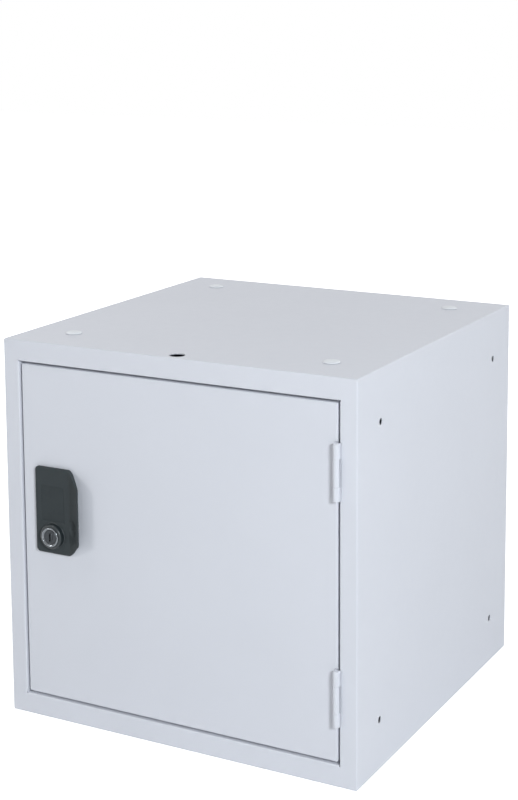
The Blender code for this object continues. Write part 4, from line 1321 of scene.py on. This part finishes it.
# %% [markdown]
# ## Floor and background
#
# The locker is shown on plain white. The floor is matt white and lit like the rest, and it adds light
# of its own only for what the camera and mirrors see, so its shadow stays. It adds more further out,
# where less of the lamps' light falls, so its far edge melts into the background. The world is white
# to the camera and a calm grey as a light.

# %% Floor
FLOOR_HALF = 6.0
FLOOR_DROP = 0.2 * MM
FLOOR_GLOW = 0.71
FAR_GLOW = 1.0
NEAR_FLOOR, FAR_FLOOR = 0.7, 1.8


def white_to_camera(tree):
    """One for rays from the camera, in mirrors and through glass, and zero for others."""
    path = tree.nodes.new("ShaderNodeLightPath")
    seen = path.outputs["Is Camera Ray"]
    for name in ("Is Glossy Ray", "Is Transmission Ray"):
        both = tree.nodes.new("ShaderNodeMath")
        both.operation = "MAXIMUM"
        tree.links.new(seen, both.inputs[0])
        tree.links.new(path.outputs[name], both.inputs[1])
        seen = both.outputs[0]
    return seen


def floor_finish():
    material, tree, sockets, place = new_finish("matt_white_floor", "#F2F2F2", 0.9, specular=0.0)
    reach = add_node(tree, "ShaderNodeVectorMath", {"operation": "LENGTH"}, {"Vector": place})
    span = {"From Min": NEAR_FLOOR, "From Max": FAR_FLOOR, "To Min": FLOOR_GLOW, "To Max": FAR_GLOW}
    white = add_node(tree, RANGE, span, {"Value": reach})
    seen = {"Factor": white_to_camera(tree), "B": white}
    add_node(tree, MIX, {"A": 0.0}, seen, sockets["Emission Strength"])
    sockets["Emission Color"].default_value = (1, 1, 1, 1)
    return material


deselect_all()
bpy.ops.mesh.primitive_plane_add(size=2 * FLOOR_HALF, location=(0, 0, -FLOOR_DROP))
floor = settle("floor")
paint(floor, floor_finish())
print("floor is", 2 * FLOOR_HALF, "m wide")

# %% World
AMBIENT = 0.13
AMBIENT_HUE = "#F3F9FF"
world = bpy.data.worlds.new("studio")
world.use_nodes = True
bpy.context.scene.world = world
tree = world.node_tree
sky = tree.nodes["Background"].inputs
seen = white_to_camera(tree)
add_node(tree, RANGE, {"To Min": AMBIENT, "To Max": 1.0}, {"Value": seen}, sky["Strength"])
hues = {"data_type": "RGBA", "A": colour(AMBIENT_HUE), "B": colour("#FFFFFF")}
add_node(tree, MIX, hues, {"Factor": seen}, sky["Color"])
print("world is white to the camera")

# %% [markdown]
# ## Lamps
#
# Two soft lamps light the front. The one on the left throws the pull plate's shadow to the right of
# it, and the one on the right, much the stronger, lights the side of the body and throws a narrow
# shadow of each hinge to its left. A broader one high on the left lights the top. Two broad ones
# behind keep the back from going dark when the camera walks round it. Each row names a lamp and gives
# its azimuth and elevation in degrees, its distance and size in metres, its power in watts and its
# hue.

# %% Lamps
TARGET = Vector((0, FRONT, MIDDLE))


def soft_lamp(name, azimuth, elevation, distance, size, power, hue):
    """A square lamp aimed at the front. Azimuth is from straight ahead, to the right."""
    around, up = math.radians(azimuth), math.radians(elevation)
    away = Vector((math.sin(around) * math.cos(up), -math.cos(around) * math.cos(up), math.sin(up)))
    lamp = bpy.data.lights.new(name, "AREA")
    lamp.shape = "SQUARE"
    lamp.size = size
    lamp.energy = power
    lamp.color = colour(hue)[:3]
    holder = bpy.data.objects.new(name, lamp)
    holder.location = TARGET + away * distance
    holder.rotation_euler = away.to_track_quat("Z", "Y").to_euler()
    bpy.context.scene.collection.objects.link(holder)
    return holder


soft_lamp("left_lamp", -42, 16, 2.6, 0.5, 10, "#FFFEFC")
soft_lamp("right_lamp", 50, 24, 2.6, 0.5, 47, "#F6FBFF")
soft_lamp("upper_lamp", -60, 70, 2.6, 1.0, 13, "#FFFFFF")
soft_lamp("rear_left_lamp", -120, 32, 3.0, 1.6, 16, "#FFFFFF")
soft_lamp("rear_right_lamp", 160, 32, 3.0, 1.6, 26, "#FFFFFF")

# %% [markdown]
# ## Camera
#
# The camera stands where the photograph was taken from: to the right of the door, a little above the
# locker, with a long lens. The product was photographed with its upright edges upright, and the frame
# was cropped, which a small vertical shift of the lens repeats.

# %% Camera
CAMERA_PLACE = (0.7996, -1.4935, 0.7265)
CAMERA_LENS = 76.4
CAMERA_SHIFT = -0.22
CAMERA_TURN = (28.441, 8.305, -0.369)
FULL_FRAME = 36
yaw, pitch, roll = (math.radians(angle) for angle in CAMERA_TURN)
lens = bpy.data.cameras.new("camera")
lens.sensor_width = FULL_FRAME
lens.lens = CAMERA_LENS
lens.shift_y = CAMERA_SHIFT
camera = bpy.data.objects.new("camera", lens)
upright = Matrix.Rotation(yaw, 4, "Z") @ Matrix.Rotation(math.pi / 2 - pitch, 4, "X")
camera.matrix_world = Matrix.Translation(CAMERA_PLACE) @ upright @ Matrix.Rotation(roll, 4, "Z")
bpy.context.scene.collection.objects.link(camera)
bpy.context.scene.camera = camera
bpy.context.scene.view_settings.view_transform = "Standard"
print("camera at", CAMERA_PLACE)
